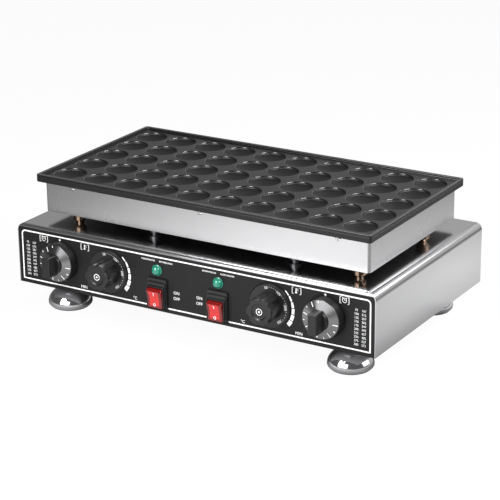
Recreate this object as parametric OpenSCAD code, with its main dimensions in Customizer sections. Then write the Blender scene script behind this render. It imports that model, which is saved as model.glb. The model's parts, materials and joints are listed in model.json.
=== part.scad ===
// Countertop mini pancake maker: a pocketed cooking head on pillars over a control base.
// Millimetres. X runs along the front from left to right, Y from front to back, Z up.
// The origin is on the worktop, under the middle of the base.

/* [Base] */
// Width of the base over its side walls
base_w = 560; // [540:1:640]
// Depth of the base between its front and rear faces
base_d = 316; // [300:1:380]
// Height of the base without its feet
base_h = 87; // [84:1:110]
// Thickness of the sheet steel of the wrap and the floor pan
sheet = 1.2; // [0.8:0.1:2]
// Thickness of the front and rear panels
panel_t = 1.5; // [1:0.1:2.5]
// Bend radius along the left and right top edges
side_bend = 11; // [8:0.5:14]
// Bend radius along the front and rear top edges
front_bend = 4.5; // [3:0.5:7]
// Width of the folded flanges that the floor pan screws to
flange_w = 14; // [11:0.5:18]

/* [Feet] */
// Height of the base over the worktop
foot_h = 38; // [34:0.5:50]
// Widest diameter of a foot
foot_d = 62; // [50:1:70]
// Height of a foot's chrome body over the worktop
bell_h = 28; // [22:0.5:32]
// Height of the widest part of a foot over the worktop
bell_waist = 6; // [5:0.5:9]
// Diameter of the rubber ring under a foot
pad_d = 54; // [44:1:60]
// Height of the part of the rubber ring that shows
pad_lip = 1.2; // [0.8:0.1:2]
// Height of the part of the rubber ring inside the foot
pad_plug = 4; // [2:0.5:4.5]
// Diameter of the threaded stud
stud_d = 8; // [6:0.5:10]
// Distance of a foot's middle from the side of the base
foot_inset_x = 56; // [50:1:70]
// Distance of a foot's middle from the front or rear of the base
foot_inset_y = 40; // [36:1:52]

/* [Cooking head] */
// Clear height between the base and the head
head_gap = 12; // [10:0.5:24]
// Width of the heater skirt
skirt_w = 507; // [500:1:513]
// Depth of the heater skirt
skirt_d = 251; // [248:1:260]
// Height of the heater skirt
skirt_h = 44; // [42:0.5:60]
// Thickness of the skirt and tray steel
skirt_sheet = 1; // [0.8:0.1:1.5]
// Width of the cooking plate over its rim
plate_w = 521; // [518:1:540]
// Depth of the cooking plate over its rim
plate_d = 273; // [268:1:290]
// Thickness of the plate's overhanging lip, up to the cooking surface
lip_h = 7.7; // [6:0.1:10]
// Height of the rim over the cooking surface
rim_h = 3.5; // [2:0.1:6]
// Width of the rim
rim_w = 4.5; // [3:0.1:6]
// Depth of the casting below the lip, inside the skirt
plug_h = 9; // [8:0.5:12]
// Diameter of a pocket at the cooking surface
pocket_d = 45; // [36:0.5:47]
// Depth of a pocket
pocket_depth = 8; // [6:0.5:12]
// Height of the wall around a pocket's dished floor
pocket_wall = 3; // [2:0.5:4]
// Distance by which a pocket's wall leans in
pocket_draft = 0.9; // [0.5:0.1:2.5]
// Distance between pocket centres
pocket_pitch = 50.5; // [49:0.1:51]
// Pockets along the front
columns = 10; // [6:2:10]
// Pockets from front to back
rows = 5; // [3:2:5]

/* [Heating] */
// Diameter of the tubular elements
element_d = 8; // [6:0.5:9]
// Distance between the runs of an element
run_pitch = 67; // [63:1:70]
// Clear distance between an element and the skirt's end walls
element_end = 15; // [12:1:25]
// Clear distance between an element and the middle of the plate
element_mid = 12; // [8:1:20]
// Width of a clamp bar
clamp_w = 12; // [11:0.5:16]
// Thickness of a clamp bar
clamp_t = 2; // [1.5:0.1:3]
// Thickness of the insulation
mat_t = 12; // [8:0.5:13]
// Diameter of a thermostat bulb
bulb_d = 6; // [5:0.5:7]
// Length of a thermostat bulb
bulb_l = 76; // [50:1:80]
// Diameter of a capillary tube
capillary_d = 1.6; // [1.2:0.1:2]

/* [Pillars] */
// Place of the front left pillar
pillar_left_x = -204; // [-235:1:-190]
// Place of the front right pillar
pillar_right_x = 234; // [190:1:240]
// Distance of the side pillars from the middle
pillar_side_x = 243; // [225:1:243]
// Distance of the front pillars in front of the middle
pillar_front_y = 115; // [105:1:115]
// Distance of the side pillars behind the middle
pillar_side_y = 48; // [40:1:100]
// Diameter of a pillar's column
pillar_d = 11; // [9:0.5:14]
// Diameter of a pillar's flared head
pillar_head_d = 18.5; // [16:0.5:21]
// Place of the left wire conduit
conduit_left_x = -79; // [-100:1:-75]
// Place of the right wire conduit
conduit_right_x = 140; // [135:1:144]
// Distance of the conduits in front of the middle
conduit_y = 115; // [110:1:116]
// Outer diameter of a conduit
conduit_d = 10; // [8:0.5:12]
// Inner diameter of a conduit
conduit_bore = 7; // [5:0.5:7]

/* [Controls] */
// Distance of a timer from the side of the base
timer_inset = 72; // [66:1:78]
// Distance between a timer and its thermostat
thermostat_step = 81; // [78:1:84]
// Height of the knobs over the bottom of the base
knob_z = 43; // [40:0.5:46]
// Reach of the thermostat knobs in front of the panel
knob_reach = 30; // [28:0.5:36]
// Reach of the timer knobs in front of the panel
timer_reach = 35.5; // [32:0.5:40]
// Diameter of a timer's dial
timer_dial_d = 57; // [50:1:62]
// Diameter of the face of a timer's dial
timer_face_d = 54; // [46:1:58]
// Thickness of a timer's dial
timer_dial_t = 11.5; // [8:0.5:13]
// Diameter of the hub on a timer's dial
timer_hub_d = 27; // [24:0.5:32]
// Rise of a timer's coned face from its edge to the hub
timer_cone_h = 4; // [1:0.5:5]
// Diameter of a thermostat's dial
thermostat_dial_d = 61; // [52:1:64]
// Diameter of a thermostat's grip
grip_d = 37.5; // [32:0.5:40]
// Thickness of a thermostat's dial
dial_t = 3; // [2:0.1:4]
// Width of a timer's bar grip
bar_w = 12.7; // [10:0.1:15]
// Length of a timer's bar grip
bar_l = 28.5; // [24:0.5:34]
// Flutes around a thermostat's grip
flutes = 6; // [5:1:8]
// Diameter of a control spindle
spindle_d = 6; // [5:0.5:8]
// Length of a knob's grip on its spindle
spindle_seat = 14; // [10:0.5:18]
// Side of a timer's square body
timer_body = 45; // [40:1:48]
// Depth of a timer's body
timer_body_l = 34; // [28:1:45]
// Side of a thermostat's square body
thermostat_body = 42; // [38:1:46]
// Depth of a thermostat's body
thermostat_body_l = 38; // [30:1:45]

/* [Switches and lamps] */
// Distance of the switches from the middle
switch_x = 47.5; // [40:0.5:60]
// Height of the rockers over the bottom of the base
switch_z = 21; // [20:0.5:22]
// Width of a switch's bezel
bezel_w = 31; // [30:0.5:36]
// Height of a switch's bezel
bezel_h = 44.5; // [42:0.5:46]
// Distance of a bezel's middle above its rocker's
bezel_rise = 4.2; // [3:0.1:4.5]
// Width of a rocker
rocker_w = 23; // [20:0.5:23.5]
// Height of a rocker
rocker_h = 29; // [26:0.5:29.5]
// Tilt of a rocker from one stop to the other, in degrees
rocker_throw = 18; // [12:1:20]
// Distance of the lamps from the middle
lamp_x = 48; // [40:0.5:60]
// Height of the lamps over the bottom of the base
lamp_z = 58.7; // [57:0.1:64]
// Diameter of a lamp's lens
lens_d = 15.6; // [13:0.1:17]
// Reach of a lens in front of the panel
lens_h = 8; // [5:0.5:10]
// Diameter of a lamp's stem
lamp_stem_d = 10; // [8:0.5:12]

/* [Rear] */
// Distance of the cable gland from the left side of the base
gland_inset = 90; // [60:1:130]
// Height of the gland over the bottom of the base
gland_z = 40; // [34:1:50]
// Diameter of the gland's thread
gland_thread_d = 20; // [16:1:22]
// Bore of the gland
gland_bore = 9; // [7:0.5:10]
// Mouth of the gland's cap
gland_mouth = 10; // [8:0.5:12]
// Length of the gland's neck, inside its cap
gland_neck = 12; // [9:0.5:14]
// Width of a vent slot
vent_w = 4; // [3:0.5:5]
// Length of a vent slot
vent_l = 46; // [30:1:50]
// Number of vent slots
vents = 12; // [6:1:14]

/* [Fasteners] */
// Shank diameter of the skirt screws and the floor screws
small_screw_d = 4; // [3:0.5:5]
// Shank diameter of the clamp screws
clamp_screw_d = 5; // [4:0.5:5.5]
// Shank diameter of the pillar bolts
pillar_bolt_d = 6; // [5:0.5:7]
// Place of the outer skirt screws from the middle
skirt_screw_x = 208; // [180:1:230]
// Distance of the skirt screws below the lip
skirt_screw_drop = 4.5; // [4:0.1:5]

/* [Clearances] */
// Gap around parts that are fixed together, on each side
fit = 0.2; // [0.1:0.05:0.4]
// Gap around a fixed shank in its hole, on each side
hole_fit = 0.1; // [0.05:0.01:0.15]
// Gap around a turning spindle, stud or pivot in its bore, on each side
run_fit = 0.05; // [0.03:0.01:0.1]
// Gap between a turning knob and the panel
knob_gap = 1; // [0.6:0.1:2]
// Gap around a rocker in its housing, on each side
rocker_gap = 0.4; // [0.3:0.05:0.6]

/* [Hidden] */
$fn = 64;
BEND_STEPS = 8;
CORNER_STEPS = 5;
CUT = 1;

// Heights over the worktop, from the floor pan to the rim
z_base = foot_h;
z_floor = z_base + sheet;
z_top = z_base + base_h;
z_tray = z_top + head_gap;
z_lip = z_tray + skirt_h;
z_cook = z_lip + lip_h;
z_under = z_lip - plug_h;

// Faces of the base
y_front = -base_d / 2;
y_rear = base_d / 2;
x_wall = base_w / 2 - sheet;
lip_z = base_h - front_bend;
y_inner = base_d / 2 - panel_t;

// Cooking head
plate_r = 3;
skirt_r = 4;
inner_r = skirt_r - skirt_sheet / 2;
pocket_floor_r = pocket_d / 2 - pocket_draft;
dish_h = pocket_depth - pocket_wall;
dish_r = (pow(pocket_floor_r, 2) + pow(dish_h, 2)) / (2 * dish_h);
// Width and depth of what fits inside the skirt: the tray and the casting's lower part
tray_w = skirt_w - 2 * (skirt_sheet + fit);
tray_d = skirt_d - 2 * (skirt_sheet + fit);
tray_rise = 8;
z_element = z_under - fit - element_d / 2;
z_clamp = z_element - element_d / 2 - fit - clamp_t;
clamp_end = 10;
clamp_columns = [1, 3];
screw_bite = 6;
screw_spare = 4;
end_gap = 1;

// Places of the skirt screws, of the clamp screws at the webs between the pockets, and of the floor screws
skirt_screw_places = [for (s = [-1, 1]) for (x = [-1, 0, 1]) [x * skirt_screw_x, s]];
clamp_screw_places = [for (s = [-1, 1]) for (c = clamp_columns) for (t = [-1, 1])
    [s * c * pocket_pitch, t * 1.5 * pocket_pitch]];
floor_screw_x = x_wall - flange_w / 2;
floor_screw_y = y_inner - flange_w / 2;
floor_screws = concat(
    [for (x = [-1, 1]) for (y = [-0.4, 0, 0.4]) [x * floor_screw_x, y * floor_screw_y]],
    [for (x = [-0.6, 0, 0.6]) for (y = [-1, 1]) [x * floor_screw_x, y * floor_screw_y]]);

// Pillars, conduits and their nuts
pillar_places = [
    [pillar_left_x, -pillar_front_y], [pillar_right_x, -pillar_front_y],
    [-pillar_side_x, pillar_side_y], [pillar_side_x, pillar_side_y]
];
conduit_places = [[conduit_left_x, -conduit_y], [conduit_right_x, -conduit_y]];
nut_h = 5;
pillar_flat = 10;
conduit_collar = 3;
conduit_collar_d = conduit_d + 2 * conduit_collar;
conduit_drop = 8;
conduit_rise = mat_t + conduit_collar;

// Controls
timer_x = base_w / 2 - timer_inset;
thermostat_x = timer_x - thermostat_step;
bush_d = 10;
control_screw_d = 3;
control_screw_x = 14;
control_screw_l = 6;
tab = [6, 0.8, 8];
switch_wall = 1.6;
switch_body_w = rocker_w + 2 * (rocker_gap + switch_wall);
switch_body_h = rocker_h + 2 * (rocker_gap + switch_wall);
switch_body_l = 26;
rocker_pivot = 3.5;
rocker_pin_d = 3;
rocker_pin_l = 1.2;
bezel_t = 3.2;
bezel_step = 2.5;
bezel_tiers = 2;
spindle_depth = 12;
lamp_stem_l = 22;
lamp_nut_t = 3;
lamp_nut_d = lamp_stem_d + 5;

// Feet, gland and terminals
foot_x = base_w / 2 - foot_inset_x;
foot_y = base_d / 2 - foot_inset_y;
gland_x = gland_inset - base_w / 2;
foot_nut_af = stud_d * 1.6;
foot_nut_h = stud_d * 0.8;
stud_top = z_floor + foot_nut_h + 2 * screw_spare;
pad_ledge = 3;
pad_plug_d = pad_d - 2 * pad_ledge;
gland_reach = knob_reach;
gland_flange = 6;
gland_land = 2;
gland_af = gland_thread_d + 2 * gland_land;
locknut_t = 5;
gland_inside = panel_t + locknut_t + gland_flange / 2;
terminal = [60, 22, 16];
terminal_poles = 5;
terminal_setback = 20;
terminal_y = foot_y - terminal_setback;
terminal_screw_d = 4;
terminal_screw_l = 6;

// Points on an arc about (cx, cy), from angle a0 to a1
function arc(cx, cy, r, a0, a1, steps) =
    [for (i = [0:steps]) let (a = a0 + (a1 - a0) * i / steps) [cx + r * cos(a), cy + r * sin(a)]];

// Outline of a rectangle with round corners, centred
function round_rect(w, d, r) = concat(
    arc(w / 2 - r, d / 2 - r, r, 0, 90, CORNER_STEPS),
    arc(r - w / 2, d / 2 - r, r, 90, 180, CORNER_STEPS),
    arc(r - w / 2, r - d / 2, r, 180, 270, CORNER_STEPS),
    arc(w / 2 - r, r - d / 2, r, 270, 360, CORNER_STEPS));

// Outline of a wall with round upper corners, standing on its baseline
function hood(w, h, r) = concat(
    [[w / 2, 0]], arc(w / 2 - r, h - r, r, 0, 90, BEND_STEPS),
    arc(r - w / 2, h - r, r, 90, 180, BEND_STEPS), [[-w / 2, 0]]);

// Outline of the front opening, a gap smaller all round and cut off level under the front bend
function opening(gap) =
    let (r = side_bend - sheet - gap, top = lip_z - gap, x = x_wall - r - gap, z = base_h - side_bend)
    let (a = asin(min(1, (top - z) / r)))
    concat(
        [[x + r, gap]], arc(x, z, r, 0, a, BEND_STEPS),
        arc(-x, z, r, 180 - a, 180, BEND_STEPS), [[-x - r, gap]]);

function unit(v) = v / norm(v);

// Direction of a path of points at its point i
function heading(p, i) =
    i == 0 ? unit(p[1] - p[0]) :
    i == len(p) - 1 ? unit(p[i] - p[i - 1]) :
    unit(unit(p[i + 1] - p[i]) + unit(p[i] - p[i - 1]));

// Ring of a tube at the point i of a path
function tube_ring(p, i, d, sides) =
    let (t = heading(p, i), u = unit(cross(t, [0.3, 0.5, 0.8])), v = cross(t, u))
    [for (k = [0:sides - 1]) let (a = 360 * k / sides) p[i] + d / 2 * (u * cos(a) + v * sin(a))];

// A tube along a path of points
module tube(p, d, sides = 8) {
    n = len(p);
    points = [for (i = [0:n - 1]) each tube_ring(p, i, d, sides)];
    walls = [for (i = [0:n - 2]) for (k = [0:sides - 1])
        let (a = i * sides + k, b = i * sides + (k + 1) % sides)
        each [[a, b + sides, b], [a, a + sides, b + sides]]];
    start = [for (k = [1:sides - 2]) [0, k, k + 1]];
    end = [for (k = [1:sides - 2]) [(n - 1) * sides, (n - 1) * sides + k + 1, (n - 1) * sides + k]];
    polyhedron(points, concat(walls, start, end));
}

// A point on the front panel: children's +Z then points out of the panel, their +Y up
module on_panel(x, z) {
    translate([x, y_front, z_base + z]) rotate([90, 0, 0]) children();
}

// A point on the rear panel: children's +Z then points out of the panel
module on_rear(x, z) {
    translate([x, y_rear, z_base + z]) rotate([90, 0, 180]) children();
}

module block(w, d, h, r) {
    linear_extrude(h) polygon(round_rect(w, d, r));
}

module hexagon(af, h) {
    cylinder(d = af / cos(30), h = h, $fn = 6);
}

// A hood shape of the base's own proportions, closed
module wrap(w, d, h, side_r, front_r) {
    intersection() {
        rotate([90, 0, 0]) linear_extrude(d, center = true) polygon(hood(w, h, side_r));
        rotate([90, 0, 90]) linear_extrude(w, center = true) polygon(hood(d, h, front_r));
    }
}

// A screw that points along +Z, with its head below Z = 0
module screw(d, l) {
    cylinder(d = d, h = l);
    translate([0, 0, -d * 0.55]) cylinder(d1 = d * 1.4, d2 = d * 1.8, h = d * 0.55);
}

module floor_screw_holes() {
    for (p = floor_screws) translate([p[0], p[1], z_base - CUT])
        cylinder(d = small_screw_d + 2 * hole_fit, h = 2 * sheet + 2 * CUT);
}

// Base

module base_shell() {
    color("gainsboro") difference() {
        union() {
            translate([0, 0, z_base]) difference() {
                wrap(base_w, base_d, base_h, side_bend, front_bend);
                translate([0, 0, -CUT]) wrap(2 * x_wall, base_d - 2 * sheet, base_h - sheet + CUT,
                    side_bend - sheet, front_bend - sheet);
                rotate([90, 0, 0]) linear_extrude(base_d + 2 * CUT, center = true)
                    polygon(concat([[x_wall, -CUT]], opening(0), [[-x_wall, -CUT]]));
            }
            for (s = [-1, 1]) translate([s * (x_wall + sheet / 2 - flange_w / 2), 0, z_floor + sheet / 2])
                cube([flange_w + sheet, 2 * (y_inner - flange_w) - 2 * fit, sheet], center = true);
        }
        for (p = pillar_places) translate([p[0], p[1], z_top - sheet - CUT])
            cylinder(d = pillar_bolt_d + 2 * hole_fit, h = sheet + 2 * CUT);
        for (p = conduit_places) translate([p[0], p[1], z_top - sheet - CUT])
            cylinder(d = conduit_d + 2 * hole_fit, h = sheet + 2 * CUT);
        floor_screw_holes();
    }
}

// A panel with a flange folded back along its lower edge, in the frame of a point on its face
module panel_blank() {
    translate([0, 0, -panel_t]) linear_extrude(panel_t) polygon(opening(fit));
    translate([fit - x_wall, sheet, -panel_t - flange_w + fit])
        cube([2 * (x_wall - fit), sheet, flange_w - fit]);
}

// A hole in a panel for a shank of the diameter d
module panel_hole(x, z, d) {
    translate([x, z, -panel_t - CUT]) cylinder(d = d + 2 * hole_fit, h = panel_t + 2 * CUT);
}

module control_panel() {
    color([0.06, 0.06, 0.07]) difference() {
        on_panel(0, 0) difference() {
            panel_blank();
            for (s = [-1, 1]) {
                panel_hole(s * lamp_x, lamp_z, lamp_stem_d);
                for (x = [timer_x, thermostat_x]) {
                    panel_hole(s * x, knob_z, bush_d);
                    for (t = [-1, 1]) panel_hole(s * x + t * control_screw_x, knob_z, control_screw_d);
                }
                translate([s * switch_x, switch_z, -panel_t / 2]) cube([
                    switch_body_w + 2 * fit, switch_body_h + 2 * fit, panel_t + 2 * CUT], center = true);
            }
        }
        floor_screw_holes();
    }
}

module back_panel() {
    vent_pitch = 2.5 * vent_w;
    first = -(vents - 1) / 2 * vent_pitch;
    color("silver") difference() {
        on_rear(0, 0) difference() {
            panel_blank();
            panel_hole(-gland_x, gland_z, gland_thread_d);
            for (i = [0:vents - 1]) translate([first + i * vent_pitch, base_h / 2, -panel_t / 2])
                cube([vent_w, vent_l, panel_t + 2 * CUT], center = true);
        }
        floor_screw_holes();
    }
}

module bottom_plate() {
    slots = 7;
    slot_pitch = 14;
    slot = [5, 60];
    color("silver") difference() {
        translate([0, 0, z_base + sheet / 2])
            cube([2 * (x_wall - fit), 2 * (y_inner - fit), sheet], center = true);
        for (x = [-foot_x, foot_x]) for (y = [-foot_y, foot_y]) translate([x, y, z_base - CUT])
            cylinder(d = stud_d + 2 * hole_fit, h = sheet + 2 * CUT);
        for (s = [-1, 1]) for (i = [0:slots - 1])
            translate([s * thermostat_x + (i - (slots - 1) / 2) * slot_pitch, 0, z_base + sheet / 2])
                cube([slot[0], slot[1], sheet + 2 * CUT], center = true);
        floor_screw_holes();
    }
}

module bottom_screws() {
    length = 2 * sheet + screw_spare;
    color("dimgray") for (p = floor_screws) translate([p[0], p[1], z_base]) screw(small_screw_d, length);
}

// Cooking head

// One pocket under Z = 0: a leaning wall and a dished floor
module pocket() {
    top_r = pocket_d / 2 + pocket_draft * CUT / pocket_wall;
    translate([0, 0, -pocket_wall]) {
        cylinder(r1 = pocket_floor_r, r2 = top_r, h = pocket_wall + CUT);
        intersection() {
            translate([0, 0, dish_r - dish_h]) sphere(r = dish_r);
            translate([0, 0, -dish_h]) cylinder(r = pocket_floor_r, h = dish_h + CUT);
        }
    }
}

module plate_pockets() {
    for (i = [0:columns - 1]) for (j = [0:rows - 1])
        translate([(i - (columns - 1) / 2) * pocket_pitch, (j - (rows - 1) / 2) * pocket_pitch, z_cook])
            pocket();
}

module grill_plate() {
    color([0.09, 0.09, 0.1]) difference() {
        union() {
            translate([0, 0, z_lip]) block(plate_w, plate_d, lip_h + rim_h, plate_r);
            translate([0, 0, z_under]) block(tray_w, tray_d, plug_h + CUT, skirt_r);
        }
        translate([0, 0, z_cook]) block(plate_w - 2 * rim_w, plate_d - 2 * rim_w, rim_h + CUT, plate_r);
        plate_pockets();
        for (p = clamp_screw_places) translate([p[0], p[1], z_under - CUT])
            cylinder(d = clamp_screw_d + 2 * hole_fit, h = screw_bite + CUT);
        for (p = skirt_screw_places) translate([p[0], p[1] * (tray_d / 2 + CUT), z_lip - skirt_screw_drop])
            rotate([90 * p[1], 0, 0]) cylinder(d = small_screw_d + 2 * hole_fit, h = 2 * screw_bite + CUT);
    }
}

module heater_skirt() {
    color("whitesmoke") difference() {
        translate([0, 0, z_tray]) block(skirt_w, skirt_d, skirt_h, skirt_r);
        translate([0, 0, z_tray - CUT])
            block(skirt_w - 2 * skirt_sheet, skirt_d - 2 * skirt_sheet, skirt_h + 2 * CUT, inner_r);
        for (p = skirt_screw_places) translate([p[0], p[1] * (skirt_d / 2 + CUT), z_lip - skirt_screw_drop])
            rotate([90 * p[1], 0, 0]) cylinder(d = small_screw_d + 2 * hole_fit, h = skirt_sheet + 2 * CUT);
    }
}

module skirt_screws() {
    color("silver") for (p = skirt_screw_places)
        translate([p[0], p[1] * skirt_d / 2, z_lip - skirt_screw_drop])
            rotate([90 * p[1], 0, 0]) screw(small_screw_d, skirt_sheet + fit + screw_bite);
}

module heater_tray() {
    color("silver") difference() {
        translate([0, 0, z_tray]) block(tray_w, tray_d, tray_rise, skirt_r);
        translate([0, 0, z_tray + skirt_sheet])
            block(tray_w - 2 * skirt_sheet, tray_d - 2 * skirt_sheet, tray_rise, inner_r);
        for (p = pillar_places) translate([p[0], p[1], z_tray - CUT])
            cylinder(d = pillar_bolt_d + 2 * hole_fit, h = skirt_sheet + 2 * CUT);
        for (p = conduit_places) translate([p[0], p[1], z_tray - CUT])
            cylinder(d = conduit_d + 2 * hole_fit, h = skirt_sheet + 2 * CUT);
    }
}

module insulation_mat() {
    edge = skirt_sheet + fit;
    nut_room = 1.4 * pillar_flat;
    color("khaki") difference() {
        translate([0, 0, z_tray + skirt_sheet]) block(tray_w - 2 * edge, tray_d - 2 * edge, mat_t, skirt_r);
        for (p = pillar_places) translate([p[0], p[1], z_tray])
            cylinder(d = nut_room, h = skirt_sheet + mat_t + CUT);
        for (p = conduit_places) translate([p[0], p[1], z_tray])
            cylinder(d = conduit_d + 2 * fit, h = skirt_sheet + mat_t + CUT);
    }
}

// One element: four runs along X joined by three half-circle bends, with a thin terminal at each end.
// The bends turn about the outer and inner centres; side is -1 for the left half.
module heating_element(side) {
    bend_r = run_pitch / 2;
    outer = skirt_w / 2 - skirt_sheet - element_end - bend_r - element_d / 2;
    inner = element_mid + bend_r + element_d / 2;
    terminal_l = 14;
    terminal_d = element_d / 2;
    color("dimgray") translate([0, 0, z_element]) mirror([side < 0 ? 1 : 0, 0, 0]) union() {
        for (t = [-1, 1]) {
            for (y = [bend_r, 3 * bend_r]) translate([inner, t * y, 0])
                rotate([0, 90, 0]) cylinder(d = element_d, h = outer - inner);
            translate([inner - terminal_l, t * 3 * bend_r, 0])
                rotate([0, 90, 0]) cylinder(d = terminal_d, h = terminal_l);
            translate([outer, t * run_pitch, 0]) rotate([0, 0, -90])
                rotate_extrude(angle = 180) translate([bend_r, 0]) circle(d = element_d);
        }
        translate([inner, 0, 0]) rotate([0, 0, 90])
            rotate_extrude(angle = 180) translate([bend_r, 0]) circle(d = element_d);
    }
}

module heating_element_left() { heating_element(-1); }
module heating_element_right() { heating_element(1); }

module element_clamps() {
    clamp_l = 3 * run_pitch + element_d + 2 * clamp_end;
    color("silver") difference() {
        for (s = [-1, 1]) for (c = clamp_columns)
            translate([s * c * pocket_pitch, 0, z_clamp + clamp_t / 2])
                cube([clamp_w, clamp_l, clamp_t], center = true);
        for (p = clamp_screw_places) translate([p[0], p[1], z_clamp - CUT])
            cylinder(d = clamp_screw_d + 2 * hole_fit, h = clamp_t + 2 * CUT);
    }
}

module clamp_screws() {
    color("dimgray") for (p = clamp_screw_places) translate([p[0], p[1], z_clamp])
        screw(clamp_screw_d, z_under - z_clamp + screw_bite - end_gap);
}

// A thermostat's bulb under the casting, and the capillary that runs down its conduit to the thermostat
module sensor(side, conduit) {
    bend = 3;
    tail = 8;
    z_bulb = z_under - fit - bulb_d / 2;
    bulb_y = -run_pitch;
    z_cross = z_tray + skirt_sheet + conduit_rise + bend;
    z_low = z_top - sheet - conduit_drop - 2 * bend;
    middle = side * 2 * pocket_pitch;
    tip = middle + bulb_l / 2;
    turn = tip + bend;
    y_body = y_front + panel_t + thermostat_body_l;
    z_body = z_base + knob_z + tail;
    color("goldenrod") union() {
        translate([middle - bulb_l / 2, bulb_y, z_bulb]) rotate([0, 90, 0]) cylinder(d = bulb_d, h = bulb_l);
        tube([
            [tip - CUT, bulb_y, z_bulb], [turn, bulb_y, z_bulb], [turn, bulb_y, z_cross],
            [conduit[0], conduit[1], z_cross], [conduit[0], conduit[1], z_low],
            [side * thermostat_x, y_body + tail, z_low], [side * thermostat_x, y_body + tail, z_body],
            [side * thermostat_x, y_body, z_body]
        ], capillary_d);
    }
}

module sensor_left() { sensor(-1, conduit_places[0]); }
module sensor_right() { sensor(1, conduit_places[1]); }

// Pillars and conduits

module pillar(h) {
    flare_low = h * 0.2;
    flare_high = h * 0.45;
    difference() {
        union() {
            cylinder(d = pillar_d, h = h);
            translate([0, 0, flare_low])
                cylinder(d1 = pillar_d, d2 = pillar_head_d, h = flare_high - flare_low);
            translate([0, 0, flare_high]) cylinder(d = pillar_head_d, h = h - flare_high);
        }
        translate([0, 0, -CUT]) cylinder(d = pillar_bolt_d + 2 * hole_fit, h = h + 2 * CUT);
    }
}

module standoffs() {
    color("peru") for (p = pillar_places) translate([p[0], p[1], z_top]) pillar(head_gap);
}

module standoff_bolts() {
    head = pillar_bolt_d * 0.66;
    color("silver") for (p = pillar_places) translate([p[0], p[1], z_top - sheet]) {
        translate([0, 0, -head]) hexagon(pillar_flat, head);
        cylinder(d = pillar_bolt_d, h = sheet + head_gap + skirt_sheet + nut_h + screw_spare / 2);
    }
}

module standoff_nuts() {
    color("silver") for (p = pillar_places) translate([p[0], p[1], z_tray + skirt_sheet]) difference() {
        hexagon(pillar_flat, nut_h);
        translate([0, 0, -CUT]) cylinder(d = pillar_bolt_d + 2 * hole_fit, h = nut_h + 2 * CUT);
    }
}

module wire_conduits() {
    length = conduit_drop + sheet + head_gap + skirt_sheet + conduit_rise;
    foot = conduit_drop + sheet;
    color("gray") for (p = conduit_places) translate([p[0], p[1], z_top - foot]) difference() {
        union() {
            cylinder(d = conduit_d, h = length);
            for (z = [foot, foot + head_gap - conduit_collar]) translate([0, 0, z])
                cylinder(d = conduit_collar_d, h = conduit_collar);
        }
        translate([0, 0, -CUT]) cylinder(d = conduit_bore, h = length + 2 * CUT);
    }
}

// Controls

// Body of a control behind the panel: a box with a bush in the panel's hole, terminal tabs and a spindle bore
module control_body(side, length) {
    front = -panel_t;
    difference() {
        union() {
            translate([0, 0, front - length / 2]) cube([side, side, length], center = true);
            translate([0, 0, front - CUT]) cylinder(d = bush_d, h = panel_t + CUT);
            for (x = [-1, 1]) for (y = [-1, 1])
                translate([x * side / 4, y * side / 4, front - length - tab[2] / 2 + CUT / 2])
                    cube([tab[0], tab[1], tab[2] + CUT], center = true);
        }
        translate([0, 0, front - spindle_depth])
            cylinder(d = spindle_d + 2 * run_fit, h = spindle_depth + panel_t + CUT);
        for (x = [-1, 1]) translate([x * control_screw_x, 0, front - control_screw_l])
            cylinder(d = control_screw_d + 2 * hole_fit, h = control_screw_l + CUT);
    }
}

module timer_case(x) {
    color("lightgray") on_panel(x, knob_z) control_body(timer_body, timer_body_l);
}

module thermostat_case(x) {
    color("tan") on_panel(x, knob_z) control_body(thermostat_body, thermostat_body_l);
}

module timer_body_left() { timer_case(-timer_x); }
module timer_body_right() { timer_case(timer_x); }
module thermostat_body_left() { thermostat_case(-thermostat_x); }
module thermostat_body_right() { thermostat_case(thermostat_x); }

// Flush screws that hold the controls to the panel, behind the dials
module control_screws() {
    head_h = 0.5;
    color("silver") for (s = [-1, 1]) for (c = [timer_x, thermostat_x]) for (t = [-1, 1])
        on_panel(s * c + t * control_screw_x, knob_z) {
            cylinder(d = 2 * control_screw_d, h = head_h);
            translate([0, 0, end_gap - panel_t - control_screw_l])
                cylinder(d = control_screw_d, h = panel_t + control_screw_l - end_gap);
        }
}

module spindle() {
    translate([0, 0, end_gap - panel_t - spindle_depth])
        cylinder(d = spindle_d, h = panel_t + spindle_depth + knob_gap + spindle_seat - 2 * end_gap);
}

module timer_shaft_left() { color("silver") on_panel(-timer_x, knob_z) spindle(); }
module timer_shaft_right() { color("silver") on_panel(timer_x, knob_z) spindle(); }
module thermostat_shaft_left() { color("silver") on_panel(-thermostat_x, knob_z) spindle(); }
module thermostat_shaft_right() { color("silver") on_panel(thermostat_x, knob_z) spindle(); }

// Dial that tapers towards its face, with a socket for the spindle cut through what stands on it
module knob(dial_d, face_d, thickness) {
    edge = dial_t / 2;
    translate([0, 0, knob_gap]) difference() {
        union() {
            cylinder(d = dial_d, h = edge);
            translate([0, 0, edge]) cylinder(d1 = dial_d, d2 = face_d, h = thickness - edge);
            children();
        }
        translate([0, 0, -CUT]) cylinder(d = spindle_d + 2 * hole_fit, h = spindle_seat + CUT);
    }
}

// Timer grip: a coned face and a low round hub under a bar that tapers towards its front
module timer_grip() {
    hub_h = 8;
    reach = timer_reach - knob_gap;
    taper = 1;
    cylinder(d = timer_hub_d, h = timer_dial_t + hub_h);
    translate([0, 0, timer_dial_t - CUT]) cylinder(d1 = timer_face_d, d2 = timer_hub_d, h = timer_cone_h + CUT);
    intersection() {
        rotate([90, 0, 0]) linear_extrude(bar_l, center = true) polygon([
            [-bar_w / 2 - taper, 0], [bar_w / 2 + taper, 0], [bar_w / 2, reach - taper],
            [bar_w / 2 - taper, reach], [taper - bar_w / 2, reach], [-bar_w / 2, reach - taper]]);
        cylinder(d = bar_l, h = reach);
    }
}

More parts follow.
